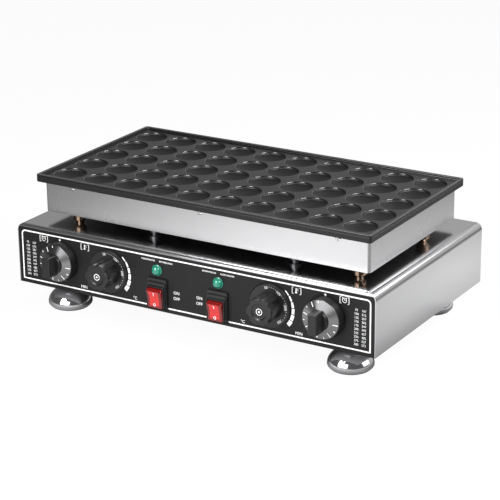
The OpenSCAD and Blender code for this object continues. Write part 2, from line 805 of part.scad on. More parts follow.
// Thermostat grip: a round grip with flutes and a dished face
module thermostat_grip() {
    reach = knob_reach - knob_gap;
    flute_r = 7;
    flute_depth = 2;
    dish_d = 22;
    dish_depth = 1.5;
    bevel = 1;
    difference() {
        union() {
            cylinder(d = grip_d, h = reach - bevel);
            translate([0, 0, reach - bevel]) cylinder(d1 = grip_d, d2 = grip_d - 2 * bevel, h = bevel);
        }
        for (i = [0:flutes - 1]) rotate([0, 0, 360 * i / flutes])
            translate([0, grip_d / 2 + flute_r - flute_depth, dial_t]) cylinder(r = flute_r, h = reach);
        translate([0, 0, reach - dish_depth])
            cylinder(d1 = dish_d - 2 * dish_depth, d2 = dish_d + 2 * CUT, h = dish_depth + CUT);
    }
}

module timer_knob(x) {
    color([0.1, 0.1, 0.1]) on_panel(x, knob_z) knob(timer_dial_d, timer_face_d, timer_dial_t) timer_grip();
}

module timer_knob_left() { timer_knob(-timer_x); }
module timer_knob_right() { timer_knob(timer_x); }
module thermostat_knob(x) {
    color([0.1, 0.1, 0.1]) on_panel(x, knob_z)
        knob(thermostat_dial_d, thermostat_dial_d - dial_t, dial_t) thermostat_grip();
}
module thermostat_knob_left() { thermostat_knob(-thermostat_x); }
module thermostat_knob_right() { thermostat_knob(thermostat_x); }

// Switch housing: a bezel in tiers around the rocker, a hollow body, pivot sockets and terminal tabs
module switch_housing(x) {
    well = 14;
    rim = bezel_t + bezel_tiers * bezel_step;
    well_w = rocker_w + 2 * rocker_gap;
    well_h = rocker_h + 2 * rocker_gap;
    corner_r = 2;
    well_r = 0.5;
    back = -panel_t - switch_body_l;
    socket_l = rocker_w + 2 * (rocker_gap + rocker_pin_l);
    color([0.05, 0.05, 0.05]) on_panel(x, switch_z) difference() {
        union() {
            for (i = [0:bezel_tiers]) let (t = i / bezel_tiers) translate([0, bezel_rise * (1 - t), 0]) block(
                bezel_w + (switch_body_w - bezel_w) * t, bezel_h + (switch_body_h - bezel_h) * t,
                bezel_t + i * bezel_step, corner_r);
            translate([0, 0, back]) block(switch_body_w, switch_body_h, CUT - back, corner_r / 2);
            for (y = [-1, 0, 1]) translate([0, y * switch_body_h / 3.5, back - tab[2] / 2 + CUT / 2])
                cube([tab[0], tab[1], tab[2] + CUT], center = true);
        }
        translate([0, 0, -well]) block(well_w, well_h, well + rim + CUT, well_r);
        translate([0, 0, rocker_pivot]) rotate([0, 90, 0])
            cylinder(d = rocker_pin_d + 2 * run_fit, h = socket_l, center = true);
    }
}

module switch_housing_left() { switch_housing(-switch_x); }
module switch_housing_right() { switch_housing(switch_x); }

// Rocker, resting on its lower stop: two faces that meet in a shallow valley, ends rounded about the pivot
module rocker(x) {
    face = 8;
    valley = face - rocker_h / 2 * tan(rocker_throw / 2);
    depth = 7;
    root = rocker_h / 4;
    color([0.75, 0.06, 0.05]) on_panel(x, switch_z) translate([0, 0, rocker_pivot])
        rotate([rocker_throw / 2, 0, 0]) {
            intersection() {
                rotate([90, 0, 90]) linear_extrude(rocker_w, center = true) polygon([
                    [-root, -depth], [root, -depth], [rocker_h / 2, 0], [rocker_h / 2, face], [0, valley],
                    [-rocker_h / 2, face], [-rocker_h / 2, 0]]);
                rotate([0, 90, 0]) cylinder(d = rocker_h, h = rocker_w + 2 * CUT, center = true);
            }
            rotate([0, 90, 0]) cylinder(d = rocker_pin_d, h = rocker_w + 2 * rocker_pin_l, center = true);
        }
}

module rocker_left() { rocker(-switch_x); }
module rocker_right() { rocker(switch_x); }

// Lamps

module lamp_lens(x) {
    rim = 2;
    dome = lens_h - rim;
    dome_r = (pow(lens_d / 2, 2) + pow(dome, 2)) / (2 * dome);
    color([0.1, 0.6, 0.4]) on_panel(x, lamp_z) union() {
        cylinder(d = lens_d, h = rim);
        intersection() {
            translate([0, 0, rim + dome - dome_r]) sphere(r = dome_r);
            translate([0, 0, rim]) cylinder(d = lens_d + 2 * CUT, h = dome + CUT);
        }
    }
}

module lamp_lens_left() { lamp_lens(-lamp_x); }
module lamp_lens_right() { lamp_lens(lamp_x); }

module lamp_holder(x) {
    back = -panel_t - lamp_stem_l;
    color([0.1, 0.1, 0.1]) on_panel(x, lamp_z) union() {
        translate([0, 0, back]) cylinder(d = lamp_stem_d, h = -back);
        for (s = [-1, 1]) translate([s * lamp_stem_d / 4, 0, back - tab[2] / 2 + CUT / 2])
            cube([tab[1], tab[0] / 2, tab[2] + CUT], center = true);
    }
}

module lamp_holder_left() { lamp_holder(-lamp_x); }
module lamp_holder_right() { lamp_holder(lamp_x); }

module lamp_nuts() {
    color("silver") for (s = [-1, 1]) on_panel(s * lamp_x, lamp_z) translate([0, 0, -panel_t - lamp_nut_t])
        difference() {
            cylinder(d = lamp_nut_d, h = lamp_nut_t);
            translate([0, 0, -CUT]) cylinder(d = lamp_stem_d + 2 * hole_fit, h = lamp_nut_t + 2 * CUT);
        }
}

// Cord inlet and mains connection

module cable_gland() {
    length = gland_inside + gland_flange + gland_neck;
    color([0.08, 0.08, 0.08]) on_rear(gland_x, gland_z) difference() {
        union() {
            hexagon(gland_af, gland_flange);
            translate([0, 0, -gland_inside]) cylinder(d = gland_thread_d, h = length);
        }
        translate([0, 0, -gland_inside - CUT]) cylinder(d = gland_bore, h = length + 2 * CUT);
    }
}

module gland_cap() {
    crown = 4;
    length = gland_reach - gland_flange;
    color([0.08, 0.08, 0.08]) on_rear(gland_x, gland_z) translate([0, 0, gland_flange]) difference() {
        union() {
            cylinder(d = gland_af, h = length - crown);
            translate([0, 0, length - crown]) cylinder(d1 = gland_af, d2 = gland_af - 2 * crown, h = crown);
        }
        translate([0, 0, -CUT]) cylinder(d = gland_thread_d + 2 * hole_fit, h = gland_neck + CUT + fit);
        translate([0, 0, gland_neck]) cylinder(d = gland_mouth, h = length);
    }
}

module gland_locknut() {
    color([0.08, 0.08, 0.08]) on_rear(gland_x, gland_z) translate([0, 0, -panel_t - locknut_t]) difference() {
        hexagon(gland_af, locknut_t);
        translate([0, 0, -CUT]) cylinder(d = gland_thread_d + 2 * hole_fit, h = locknut_t + 2 * CUT);
    }
}

function terminal_x(i) = gland_x + (i - (terminal_poles - 1) / 2) * terminal[0] / terminal_poles;

module terminal_block() {
    way_d = 5;
    screw_z = terminal[2] - terminal_screw_l;
    color("ivory") translate([0, terminal_y, z_floor]) difference() {
        translate([gland_x, 0, terminal[2] / 2]) cube(terminal, center = true);
        for (i = [0:terminal_poles - 1]) translate([terminal_x(i), 0, 0]) {
            translate([0, 0, way_d]) rotate([90, 0, 0])
                cylinder(d = way_d, h = terminal[1] + 2 * CUT, center = true);
            for (s = [-1, 1]) translate([0, s * terminal[1] / 4, screw_z])
                cylinder(d = terminal_screw_d + 2 * hole_fit, h = terminal_screw_l + CUT);
        }
    }
}

module terminal_screws() {
    sunk = 1;
    z = z_floor + terminal[2] - terminal_screw_l;
    color("goldenrod") for (i = [0:terminal_poles - 1]) for (s = [-1, 1])
        translate([terminal_x(i), terminal_y + s * terminal[1] / 4, z])
            cylinder(d = terminal_screw_d, h = terminal_screw_l - sunk);
}

// Feet

module foot_nuts() {
    color("silver") for (x = [-foot_x, foot_x]) for (y = [-foot_y, foot_y]) translate([x, y, z_floor])
        difference() {
            hexagon(foot_nut_af, foot_nut_h);
            translate([0, 0, -CUT]) cylinder(d = stud_d + 2 * run_fit, h = foot_nut_h + 2 * CUT);
        }
}

// Chrome body: two quarter ellipses about its widest height, hollowed for the rubber ring, with its stud
module foot(x, y) {
    crown_d = 16;
    r = foot_d / 2;
    rise = bell_h - bell_waist;
    drop = bell_waist - pad_lip;
    a_crown = acos(crown_d / foot_d);
    edge = 1;
    a_base = acos((pad_d / 2 + edge) / r);
    upper = [for (i = [0:BEND_STEPS]) let (a = a_crown * i / BEND_STEPS)
        [r * cos(a), bell_waist + rise * sin(a) / sin(a_crown)]];
    lower = [for (i = [CORNER_STEPS:-1:1]) let (a = a_base * i / CORNER_STEPS)
        [r * cos(a), bell_waist - drop * sin(a) / sin(a_base)]];
    color("lightsteelblue") translate([x, y, 0]) union() {
        difference() {
            rotate_extrude() polygon(concat([[0, pad_lip]], lower, upper, [[0, bell_h]]));
            translate([0, 0, -CUT]) cylinder(d = pad_plug_d + 2 * fit, h = pad_lip + pad_plug + fit + CUT);
        }
        translate([0, 0, bell_h - CUT]) cylinder(d = stud_d, h = stud_top - bell_h + CUT);
    }
}

module foot_front_left() { foot(-foot_x, -foot_y); }
module foot_front_right() { foot(foot_x, -foot_y); }
module foot_rear_left() { foot(-foot_x, foot_y); }
module foot_rear_right() { foot(foot_x, foot_y); }

module foot_pad(x, y) {
    color([0.08, 0.08, 0.08]) translate([x, y, 0]) union() {
        cylinder(d = pad_d, h = pad_lip);
        cylinder(d = pad_plug_d, h = pad_lip + pad_plug);
    }
}

module foot_pad_front_left() { foot_pad(-foot_x, -foot_y); }
module foot_pad_front_right() { foot_pad(foot_x, -foot_y); }
module foot_pad_rear_left() { foot_pad(-foot_x, foot_y); }
module foot_pad_rear_right() { foot_pad(foot_x, foot_y); }

base_shell();
control_panel();
back_panel();
bottom_plate();
bottom_screws();
grill_plate();
heater_skirt();
skirt_screws();
heater_tray();
insulation_mat();
heating_element_left();
heating_element_right();
element_clamps();
clamp_screws();
sensor_left();
sensor_right();
standoffs();
standoff_bolts();
standoff_nuts();
wire_conduits();
timer_body_left();
timer_body_right();
thermostat_body_left();
thermostat_body_right();
control_screws();
timer_shaft_left();
timer_shaft_right();
thermostat_shaft_left();
thermostat_shaft_right();
timer_knob_left();
timer_knob_right();
thermostat_knob_left();
thermostat_knob_right();
switch_housing_left();
switch_housing_right();
rocker_left();
rocker_right();
lamp_lens_left();
lamp_lens_right();
lamp_holder_left();
lamp_holder_right();
lamp_nuts();
cable_gland();
gland_cap();
gland_locknut();
terminal_block();
terminal_screws();
foot_nuts();
foot_front_left();
foot_front_right();
foot_rear_left();
foot_rear_right();
foot_pad_front_left();
foot_pad_front_right();
foot_pad_rear_left();
foot_pad_rear_right();
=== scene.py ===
"""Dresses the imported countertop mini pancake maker: finishes, printed marks and softened shapes.

Lengths are metres in the frame of the CAD model: X to the right, Y to the rear, Z up from the worktop.
Profiles and printed marks are written in millimetres.
"""

import json
import math

import bmesh
import bpy
from bpy.props import FloatProperty, FloatVectorProperty, IntProperty, PointerProperty
from mathutils import Matrix, Vector


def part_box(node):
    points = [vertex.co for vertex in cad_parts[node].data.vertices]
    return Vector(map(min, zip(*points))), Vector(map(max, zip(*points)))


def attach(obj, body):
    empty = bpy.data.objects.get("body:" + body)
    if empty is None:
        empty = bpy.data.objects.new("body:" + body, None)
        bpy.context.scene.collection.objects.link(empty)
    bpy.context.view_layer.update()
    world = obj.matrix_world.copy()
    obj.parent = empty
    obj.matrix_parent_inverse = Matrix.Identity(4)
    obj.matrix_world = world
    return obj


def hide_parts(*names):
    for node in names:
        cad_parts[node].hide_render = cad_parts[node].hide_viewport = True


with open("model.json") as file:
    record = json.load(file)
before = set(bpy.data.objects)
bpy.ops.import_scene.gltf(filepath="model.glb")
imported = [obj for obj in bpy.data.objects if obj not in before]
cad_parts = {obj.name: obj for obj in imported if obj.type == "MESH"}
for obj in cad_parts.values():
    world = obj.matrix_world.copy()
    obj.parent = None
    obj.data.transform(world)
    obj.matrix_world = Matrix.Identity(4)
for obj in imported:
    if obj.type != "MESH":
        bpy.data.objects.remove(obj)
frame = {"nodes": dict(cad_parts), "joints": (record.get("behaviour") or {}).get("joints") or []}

bl_info = {
    "name": "Mini Pancake Maker",
    "version": (1, 0, 0),
    "blender": (4, 5, 0),
    "location": "View3D > Sidebar > Pancake Maker",
    "description": "Builds the looks of a countertop mini pancake maker around its CAD model",
    "category": "Object",
}

MM = 0.001
WELD = 1e-6
PER_TILE = 12
CORNER_STEPS = 5
BOTH_ENDS = (0, -1)
POLE = [Vector((0, 0))]
SIDES = {"left": -1, "right": 1}
FEET = [f"{end}_{side}" for end in ("front", "rear") for side in SIDES]
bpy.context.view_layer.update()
JOINT_AT = {joint["name"]: Vector(joint["pos_m"]) for joint in frame["joints"]}
PANEL_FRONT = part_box("control_panel")[0].y
BASE_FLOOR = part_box("base_shell")[0].z
PLATE_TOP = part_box("grill_plate")[1].z


# Sizes and colours that a user would change


def length(name, description, millimetres):
    return FloatProperty(
        name=name, description=description, default=millimetres * MM, unit="LENGTH", precision=4)


def angle(name, description, degrees):
    return FloatProperty(
        name=name, description=description, default=math.radians(degrees), subtype="ANGLE")


def number(name, description, value, unit="NONE"):
    return FloatProperty(name=name, description=description, default=value, unit=unit)


def count(name, description, value, least=1):
    return IntProperty(name=name, description=description, default=value, min=least)


def colour(name, description, value):
    return FloatVectorProperty(
        name=name, description=description, default=value, subtype="COLOR", min=0, max=1)


class PlateSizes(bpy.types.PropertyGroup):
    columns: count("Columns", "Pockets along the front", 10)
    rows: count("Rows", "Pockets from front to rear", 5)
    pitch: length("Pitch", "Distance between pocket centres", 50.5)
    pocket_d: length("Pocket diameter", "Diameter of a pocket at the cooking surface", 45)
    pocket_depth: length("Pocket depth", "Depth of a pocket", 8)
    pocket_wall: length("Pocket wall", "Height of the wall around a pocket's dished floor", 3)
    pocket_draft: length("Pocket draft", "Distance by which a pocket's wall leans in", 0.9)
    shoulder: length("Shoulder", "Radius of the rounded edge of a pocket", 1.3)
    rim_w: length("Rim width", "Width of the raised rim", 4.5)
    rim_h: length("Rim height", "Height of the rim over the cooking surface", 3.5)
    lip_h: length("Lip", "Thickness of the lip under the cooking surface", 7.7)
    edge: length("Edge", "Radius of the rim's and the lip's edges", 1.2)


class PanelPrint(bpy.types.PropertyGroup):
    ink: length("Ink", "Thickness of the printed marks", 0.06)
    border_x: length("Border half width", "Distance of the border line from the middle", 273.5)
    border_low: length("Border foot", "Lower edge of the border over the base's floor", 5.7)
    border_high: length("Border head", "Upper edge of the border over the base's floor", 78)
    border_w: length("Border line", "Width of the border line", 1.9)
    border_r: length("Border corner", "Radius of the border's upper corners", 7)
    figure_h: length("Figures", "Height of the figures in the tables", 3.0)
    word_h: length("Unit marks", "Height of the unit marks beside the controls", 4.2)


class KnobSizes(bpy.types.PropertyGroup):
    gap: length("Gap", "Gap between a dial and the panel", 1)
    timer_t: length("Timer dial", "Thickness of a timer's dial", 11.5)
    timer_face_d: length("Timer face", "Diameter of the face of a timer's dial", 54)
    timer_hub_d: length("Timer hub", "Diameter of the hub on a timer's dial", 27)
    timer_hub_h: length("Timer hub height", "Height of the hub over the dial", 8)
    timer_cone_h: length("Timer cone", "Rise of a timer's coned face from its edge to the hub", 4)
    timer_reach: length("Timer reach", "Reach of a timer knob in front of the panel", 35.5)
    bar_w: length("Bar width", "Width of a timer's bar grip", 12.7)
    bar_l: length("Bar length", "Length of a timer's bar grip", 28.5)
    ticks: count("Ticks", "Tick marks around a timer's dial", 12, 2)
    grip_d: length("Grip", "Diameter of a thermostat's grip", 37.5)
    dial_t: length("Dial thickness", "Thickness of a thermostat's dial", 3)
    reach: length("Reach", "Reach of a thermostat knob in front of the panel", 30)
    flutes: count("Flutes", "Flutes around a thermostat's grip", 6, 3)


class SwitchSizes(bpy.types.PropertyGroup):
    rocker_w: length("Rocker width", "Width of a rocker", 23)
    rocker_h: length("Rocker height", "Height of a rocker", 29)
    rocker_face: length("Rocker face", "Reach of the rocker's ends from its pivot", 8)
    rocker_gap: length("Rocker gap", "Gap around a rocker in its housing", 0.4)
    throw: angle("Throw", "Tilt between the stops", 18)
    wall: length("Wall", "Wall of the housing around the rocker", 1.6)
    bezel_w: length("Bezel width", "Width of the bezel", 31)
    bezel_h: length("Bezel height", "Height of the bezel", 44.5)
    bezel_rise: length("Bezel rise", "Distance of the bezel's middle above the rocker's", 4.2)
    bezel_t: length("Bezel", "Thickness of the bezel's lowest tier", 3.2)
    tier_h: length("Tier", "Height of each further tier", 2.5)
    tiers: count("Tiers", "Tiers on the bezel", 2)


class Colours(bpy.types.PropertyGroup):
    steel: colour("Steel", "Brushed stainless sheet", (0.68, 0.68, 0.69))
    coat: colour("Non-stick coat", "Coating of the cooking plate", (0.005, 0.005, 0.0054))
    panel: colour("Panel", "Paint of the front panel", (0.008, 0.008, 0.0086))
    ink: colour("Ink", "Printed marks", (0.92, 0.92, 0.91))
    plastic: colour("Plastic", "Knobs, bezels and gland", (0.009, 0.009, 0.0096))
    rocker: colour("Rocker", "Rockers of the switches", (0.55, 0.012, 0.01))
    lens: colour("Lens", "Lenses of the lamps", (0.012, 0.21, 0.135))
    brass: colour("Brass", "Pillars under the cooking head", (0.25, 0.175, 0.125))
    chrome: colour("Chrome", "Feet", (0.78, 0.78, 0.8))


class StageSetup(bpy.types.PropertyGroup):
    camera_at: FloatVectorProperty(
        name="Camera", description="Place of the camera", default=(1.2852, -2.1144, 0.9792), unit="LENGTH")
    heading: angle("Heading", "Turn of the camera to its left", 31.27)
    pitch: angle("Pitch", "Tilt of the camera downwards", 19.89)
    roll: angle("Roll", "Roll of the camera", -0.56)
    lens: number("Lens", "Focal length in millimetres", 136.27)
    sky_bright: number("Bright sky", "Strength of the sky at the rear", 0.62)
    sky_dark: number("Dark sky", "Strength of the sky overhead and in front", 0.1)
    key: number("Key", "Power of the soft light over the right", 36, "POWER")
    left: number("Left", "Power of the light over the left front", 21, "POWER")
    cards: number("Cards", "Power of the low card beside the object", 3, "POWER")
    rear: number("Rear", "Power of the light over the right rear", 1.2, "POWER")


# Outlines


def polar(radius, turn):
    return Vector((radius * math.cos(turn), radius * math.sin(turn)))


def quarter(steps):
    """Sines and cosines through a quarter turn."""
    turns = [math.pi / 2 * k / steps for k in range(steps + 1)]
    return [(math.sin(a), math.cos(a)) for a in turns]


def soften(corners, steps=4):
    """Closed outline through corners given as (x, y, radius), each rounded with its radius."""
    outline = []
    for i, (x, y, radius) in enumerate(corners):
        here = Vector((x, y))
        if radius <= 0:
            outline.append(here)
            continue
        before = Vector(corners[i - 1][:2]) - here
        after = Vector(corners[(i + 1) % len(corners)][:2]) - here
        reach = radius / math.tan(before.angle(after) / 2)
        reach = min(reach, before.length / 2, after.length / 2)
        start = here + before.normalized() * reach
        end = here + after.normalized() * reach
        for k in range(steps + 1):
            t = k / steps
            outline.append(start.lerp(here, t).lerp(here.lerp(end, t), t))
    return outline


def rect_corners(w, h):
    x = w / 2
    y = h / 2
    return [Vector((x, -y)), Vector((x, y)), Vector((-x, y)), Vector((-x, -y))]


def round_rect(w, h, radius, steps=4):
    return soften([(p.x, p.y, radius) for p in rect_corners(w, h)], steps)


def circle(radius, points=48):
    return [polar(radius, 2 * math.pi * k / points) for k in range(points)]


def inset(outline, amount):
    """A counter-clockwise outline moved inwards."""
    moved = []
    for i, here in enumerate(outline):
        along = (outline[(i + 1) % len(outline)] - outline[i - 1]).normalized()
        moved.append(here + Vector((-along.y, along.x)) * amount)
    return moved


# Meshes


def join_rings(bm, rings, closed=False, caps=()):
    """Walls between neighbouring rings; a ring of one vertex is a pole. Caps are the rings to fill."""
    pairs = list(zip(rings, rings[1:]))
    if closed:
        pairs.append((rings[-1], rings[0]))
    for low, high in pairs:
        for k in range(max(len(low), len(high))):
            corners = [low[k % len(low)], low[(k + 1) % len(low)]]
            corners += [high[(k + 1) % len(high)], high[k % len(high)]]
            corners = list(dict.fromkeys(corners))
            if len(corners) > 2:
                bm.faces.new(corners)
    for k in caps:
        bm.faces.new(rings[k])


def stack(bm, profile, closed=False, caps=()):
    """Walls between level outlines given as (outline, height)."""
    rings = [[bm.verts.new((p.x, p.y, z)) for p in outline] for outline, z in profile]
    join_rings(bm, rings, closed, caps)


def lathe(bm, corners, segments=64, closed=False):
    """Turns rounded (radius, height, edge) corners in millimetres about Z. Radius 0 gives a pole."""
    profile = [(circle(p.x * MM, segments) if p.x else POLE, p.y * MM) for p in soften(corners)]
    stack(bm, profile, closed)


def rounded_top(outline, high, edge, steps):
    """Levels of a rounded upper edge over an outline."""
    return [(inset(outline, edge * (1 - c)), high - edge * (1 - s)) for s, c in quarter(steps)]


def band(bm, outer, inner, low, high):
    """A flat closed band between two outlines of as many points."""
    stack(bm, ((outer, low), (outer, high), (inner, high), (inner, low)), closed=True)


def slab(bm, outline, low, high):
    """A flat solid over an outline."""
    stack(bm, ((outline, low), (outline, high)), caps=BOTH_ENDS)


def mesh_of(bm, name):
    mesh = bpy.data.meshes.new(name)
    bm.to_mesh(mesh)
    bm.free()
    return mesh


def put(bm, place, build):
    """Runs build on an empty mesh, moves the result by place and adds it to bm."""
    part = bmesh.new()
    build(part)
    part.transform(place)
    scratch = mesh_of(part, "scratch")
    bm.from_mesh(scratch)
    bpy.data.meshes.remove(scratch)


def letters(bm, words, height, place, thickness):
    """Flat figures centred on a place."""
    capital_share = 0.7
    curve = bpy.data.curves.new("figures", "FONT")
    curve.body = words
    curve.size = height / capital_share
    curve.align_x = "CENTER"
    curve.align_y = "CENTER"
    curve.resolution_u = 3
    curve.extrude = thickness / 2
    holder = bpy.data.objects.new("figures", curve)
    mesh = bpy.data.meshes.new_from_object(holder)
    mesh.transform(place @ Matrix.Translation((0, 0, thickness / 2)))
    bm.from_mesh(mesh)
    bpy.data.objects.remove(holder)
    bpy.data.curves.remove(curve)
    bpy.data.meshes.remove(mesh)


def link_new(name, data):
    """A new object in the scene."""
    item = bpy.data.objects.new(name, data)
    bpy.context.scene.collection.objects.link(item)
    return item


def drop(item):
    """Removes a helper object and its mesh."""
    mesh = item.data
    bpy.data.objects.remove(item)
    bpy.data.meshes.remove(mesh)


def baked(holder):
    """The plain mesh that a helper object's modifiers give; the helper is removed."""
    evaluated = holder.evaluated_get(bpy.context.evaluated_depsgraph_get())
    result = bpy.data.meshes.new_from_object(evaluated)
    drop(holder)
    return result


def even_normals(mesh, sharp):
    """Shades a mesh smooth between its sharp edges, with normals that follow its larger faces."""
    name = mesh.name
    mesh.shade_smooth()
    mesh.set_sharp_from_angle(angle=math.radians(sharp))
    holder = link_new("normals", mesh)
    weigh = holder.modifiers.new("weigh", "WEIGHTED_NORMAL")
    weigh.keep_sharp = True
    result = baked(holder)
    result.name = name
    return result


def settle(bm, name, place=None, sharp=35):
    """The finished mesh: moved to its place, welded, faces outwards, evenly shaded."""
    if place is not None:
        bm.transform(place)
    bmesh.ops.remove_doubles(bm, verts=bm.verts, dist=WELD)
    bmesh.ops.recalc_face_normals(bm, faces=bm.faces)
    return even_normals(mesh_of(bm, name), sharp)


def add_piece(name, mesh, body, material, stands_for=()):
    """A finished piece on its body."""
    mesh.materials.clear()
    mesh.materials.append(material)
    piece = link_new(name, mesh)
    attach(piece, body)
    if stands_for:
        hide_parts(*stands_for)


def make_piece(name, build, place, body, material, stands_for=(), sharp=35):
    """A piece from a function that builds its mesh."""
    bm = bmesh.new()
    build(bm)
    add_piece(name, settle(bm, name, place, sharp), body, material, stands_for)


def smooth_node(node, material):
    """A welded copy of a CAD node of the base with even normals, shown in its place."""
    name = node + "_skin"
    flat = math.radians(0.5)
    bm = bmesh.new()
    bm.from_mesh(frame["nodes"][node].data)
    bmesh.ops.remove_doubles(bm, verts=bm.verts, dist=WELD)
    bmesh.ops.dissolve_limit(bm, angle_limit=flat, verts=bm.verts, edges=bm.edges)
    add_piece(name, even_normals(mesh_of(bm, name), sharp=25), "base", material, [node])


def paint_nodes(material, *nodes):
    for node in nodes:
        materials = frame["nodes"][node].data.materials
        materials.clear()
        materials.append(material)


def half_width(node):
    """Half the width of a CAD node, in millimetres."""
    low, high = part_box(node)
    return (high.x - low.x) / 2 / MM


def panel_place(x, z):
    """Frame of a point on the front panel: its X to the right, Y up and Z out of the panel."""
    return Matrix(((1, 0, 0, x), (0, 0, -1, PANEL_FRONT), (0, 1, 0, z), (0, 0, 0, 1)))


def joint_place(name):
    middle = JOINT_AT[name]
    return panel_place(middle.x, middle.z)


def raised(z):
    return Matrix.Translation((0, 0, z))


def turned(degrees):
    return Matrix.Rotation(math.radians(degrees), 4, "Z")


# Nodes


def feed(tree, node, inputs):
    """Fills a node's inputs, each with a value or with another node's output."""
    for key, value in inputs.items():
        if isinstance(value, bpy.types.NodeSocket):
            tree.links.new(value, node.inputs[key])
        else:
            node.inputs[key].default_value = value


def add_node(tree, kind, inputs=None, **settings):
    node = tree.nodes.new(kind)
    for key, value in settings.items():
        setattr(node, key, value)
    feed(tree, node, inputs or {})
    return node


def out_of(tree, kind, inputs=None, output=0, **settings):
    """One output of a new node."""
    return add_node(tree, kind, inputs, **settings).outputs[output]


def calc(tree, operation, *values):
    return out_of(tree, "ShaderNodeMath", dict(enumerate(values)), operation=operation)


def calc_vector(tree, operation, *values, output="Vector"):
    return out_of(tree, "ShaderNodeVectorMath", dict(enumerate(values)), output, operation=operation)


def remap(tree, value, start=(0, 1), end=(0, 1)):
    """A value carried over from one range to another."""
    return out_of(tree, "ShaderNodeMapRange", {
        "Value": value, "From Min": start[0], "From Max": start[1], "To Min": end[0], "To Max": end[1]})


def xyz(tree, **parts):
    return out_of(tree, "ShaderNodeCombineXYZ", parts)


def mix_tones(tree, share, first, second):
    return out_of(tree, "ShaderNodeMix", {0: share, 6: first, 7: second}, 2, data_type="RGBA")


def object_spot(tree):
    return out_of(tree, "ShaderNodeTexCoord", output="Object")


# Shapes that repeat, as Geometry Nodes


def node_tree(name, inputs):
    """An empty Geometry Nodes tree, and the outputs of its input node by name."""
    tree = bpy.data.node_groups.new(name, "GeometryNodeTree")
    for label, kind in {"Geometry": "Geometry", **inputs, "Material": "Material"}.items():
        tree.interface.new_socket(label, in_out="INPUT", socket_type="NodeSocket" + kind)
    tree.interface.new_socket("Geometry", in_out="OUTPUT", socket_type="NodeSocketGeometry")
    return tree, tree.nodes.new("NodeGroupInput").outputs


def close_tree(tree, given, geometry, weld=False):
    """Ends a tree: instances made real, welded where they meet, and the material set."""
    last = out_of(tree, "GeometryNodeRealizeInstances", {"Geometry": geometry})
    if weld:
        last = out_of(tree, "GeometryNodeMergeByDistance", {"Geometry": last, "Distance": 10 * WELD})
    last = out_of(tree, "GeometryNodeSetMaterial", {"Geometry": last, "Material": given["Material"]})
    add_node(tree, "NodeGroupOutput", {"Geometry": last})
    return tree


def run_tree(tree, start, values):
    """Runs a tree on a start mesh and gives the result as a plain mesh."""
    holder = link_new(tree.name, start)
    modifier = holder.modifiers.new(tree.name, "NODES")
    modifier.node_group = tree
    for item in tree.interface.items_tree:
        if item.in_out == "INPUT" and item.name in values:
            modifier[item.identifier] = values[item.name]
    return baked(holder)


def pocket_grid_tree():
    """Joins a frame mesh with a grid of pocket tiles."""
    tree, given = node_tree("pocket_grid", {
        "Tile": "Object", "Columns": "Int", "Rows": "Int", "Width": "Float", "Depth": "Float"})
    grid = out_of(tree, "GeometryNodeMeshGrid", {
        "Size X": given["Width"], "Size Y": given["Depth"],
        "Vertices X": given["Columns"], "Vertices Y": given["Rows"]})
    tile = out_of(tree, "GeometryNodeObjectInfo", {"Object": given["Tile"]}, "Geometry")
    tiles = out_of(tree, "GeometryNodeInstanceOnPoints", {"Points": grid, "Instance": tile})
    joined = add_node(tree, "GeometryNodeJoinGeometry")
    for part in (tiles, given["Geometry"]):
        tree.links.new(part, joined.inputs["Geometry"])
    return close_tree(tree, given, joined.outputs["Geometry"], weld=True)


def dial_ticks_tree():
    """Ticks along a part of a dial's edge, long and short by turns."""
    lengths = ("Radius", "Start", "Step", "Length", "Width", "Ink", "Short")
    tree, given = node_tree("dial_ticks", {"Count": "Int", **dict.fromkeys(lengths, "Float")})
    index = out_of(tree, "GeometryNodeInputIndex")
    turn = calc(tree, "MULTIPLY_ADD", index, given["Step"], given["Start"])
    place = out_of(tree, "ShaderNodeVectorRotate", {
        "Vector": xyz(tree, X=given["Radius"]), "Angle": turn}, rotation_type="Z_AXIS")
    points = out_of(tree, "GeometryNodePoints", {"Count": given["Count"], "Position": place})
    size = xyz(tree, X=given["Length"], Y=given["Width"], Z=given["Ink"])
    bar = out_of(tree, "GeometryNodeMeshCube", {"Size": size})
    inwards = calc_vector(tree, "MULTIPLY", size, (-0.5, 0, 0))
    tick = out_of(tree, "GeometryNodeTransform", {"Geometry": bar, "Translation": inwards})
    share = remap(tree, calc(tree, "MODULO", index, 2), end=(1, given["Short"]))
    ticks = out_of(tree, "GeometryNodeInstanceOnPoints", {
        "Points": points, "Instance": tick, "Rotation": xyz(tree, Z=turn),
        "Scale": xyz(tree, X=share, Y=1, Z=1)})
    return close_tree(tree, given, ticks)


def screw_set_tree():
    """One screw on each point of the start mesh, its head along the point's axis attribute."""
    tree, given = node_tree("screw_set", {"Screw": "Object"})
    screw = out_of(tree, "GeometryNodeObjectInfo", {"Object": given["Screw"]}, "Geometry")
    axis = out_of(tree, "GeometryNodeInputNamedAttribute", {"Name": "axis"}, data_type="FLOAT_VECTOR")
    turn = out_of(tree, "FunctionNodeAlignRotationToVector", {"Vector": axis}, axis="Z")
    screws = out_of(tree, "GeometryNodeInstanceOnPoints", {
        "Points": given["Geometry"], "Instance": screw, "Rotation": turn})
    return close_tree(tree, given, screws)


# Patterns shared by the finishes; each takes a tree, its inputs and the spot on the object


def noise(tree, vector, detail, scale=1.0, roughness=0.55):
    return out_of(tree, "ShaderNodeTexNoise", {
        "Vector": vector, "Scale": scale, "Detail": detail, "Roughness": roughness})


def brushed_lines(tree, given, spot):
    """Fine lines drawn out along one axis, and slow changes across the sheet."""
    lines = noise(tree, calc_vector(tree, "MULTIPLY", spot, given["Stretch"]), 3)
    slow = noise(tree, spot, 2, 7)
    return {"Shade": calc(tree, "MULTIPLY", calc(tree, "ADD", lines, slow), 0.5), "Height": lines}


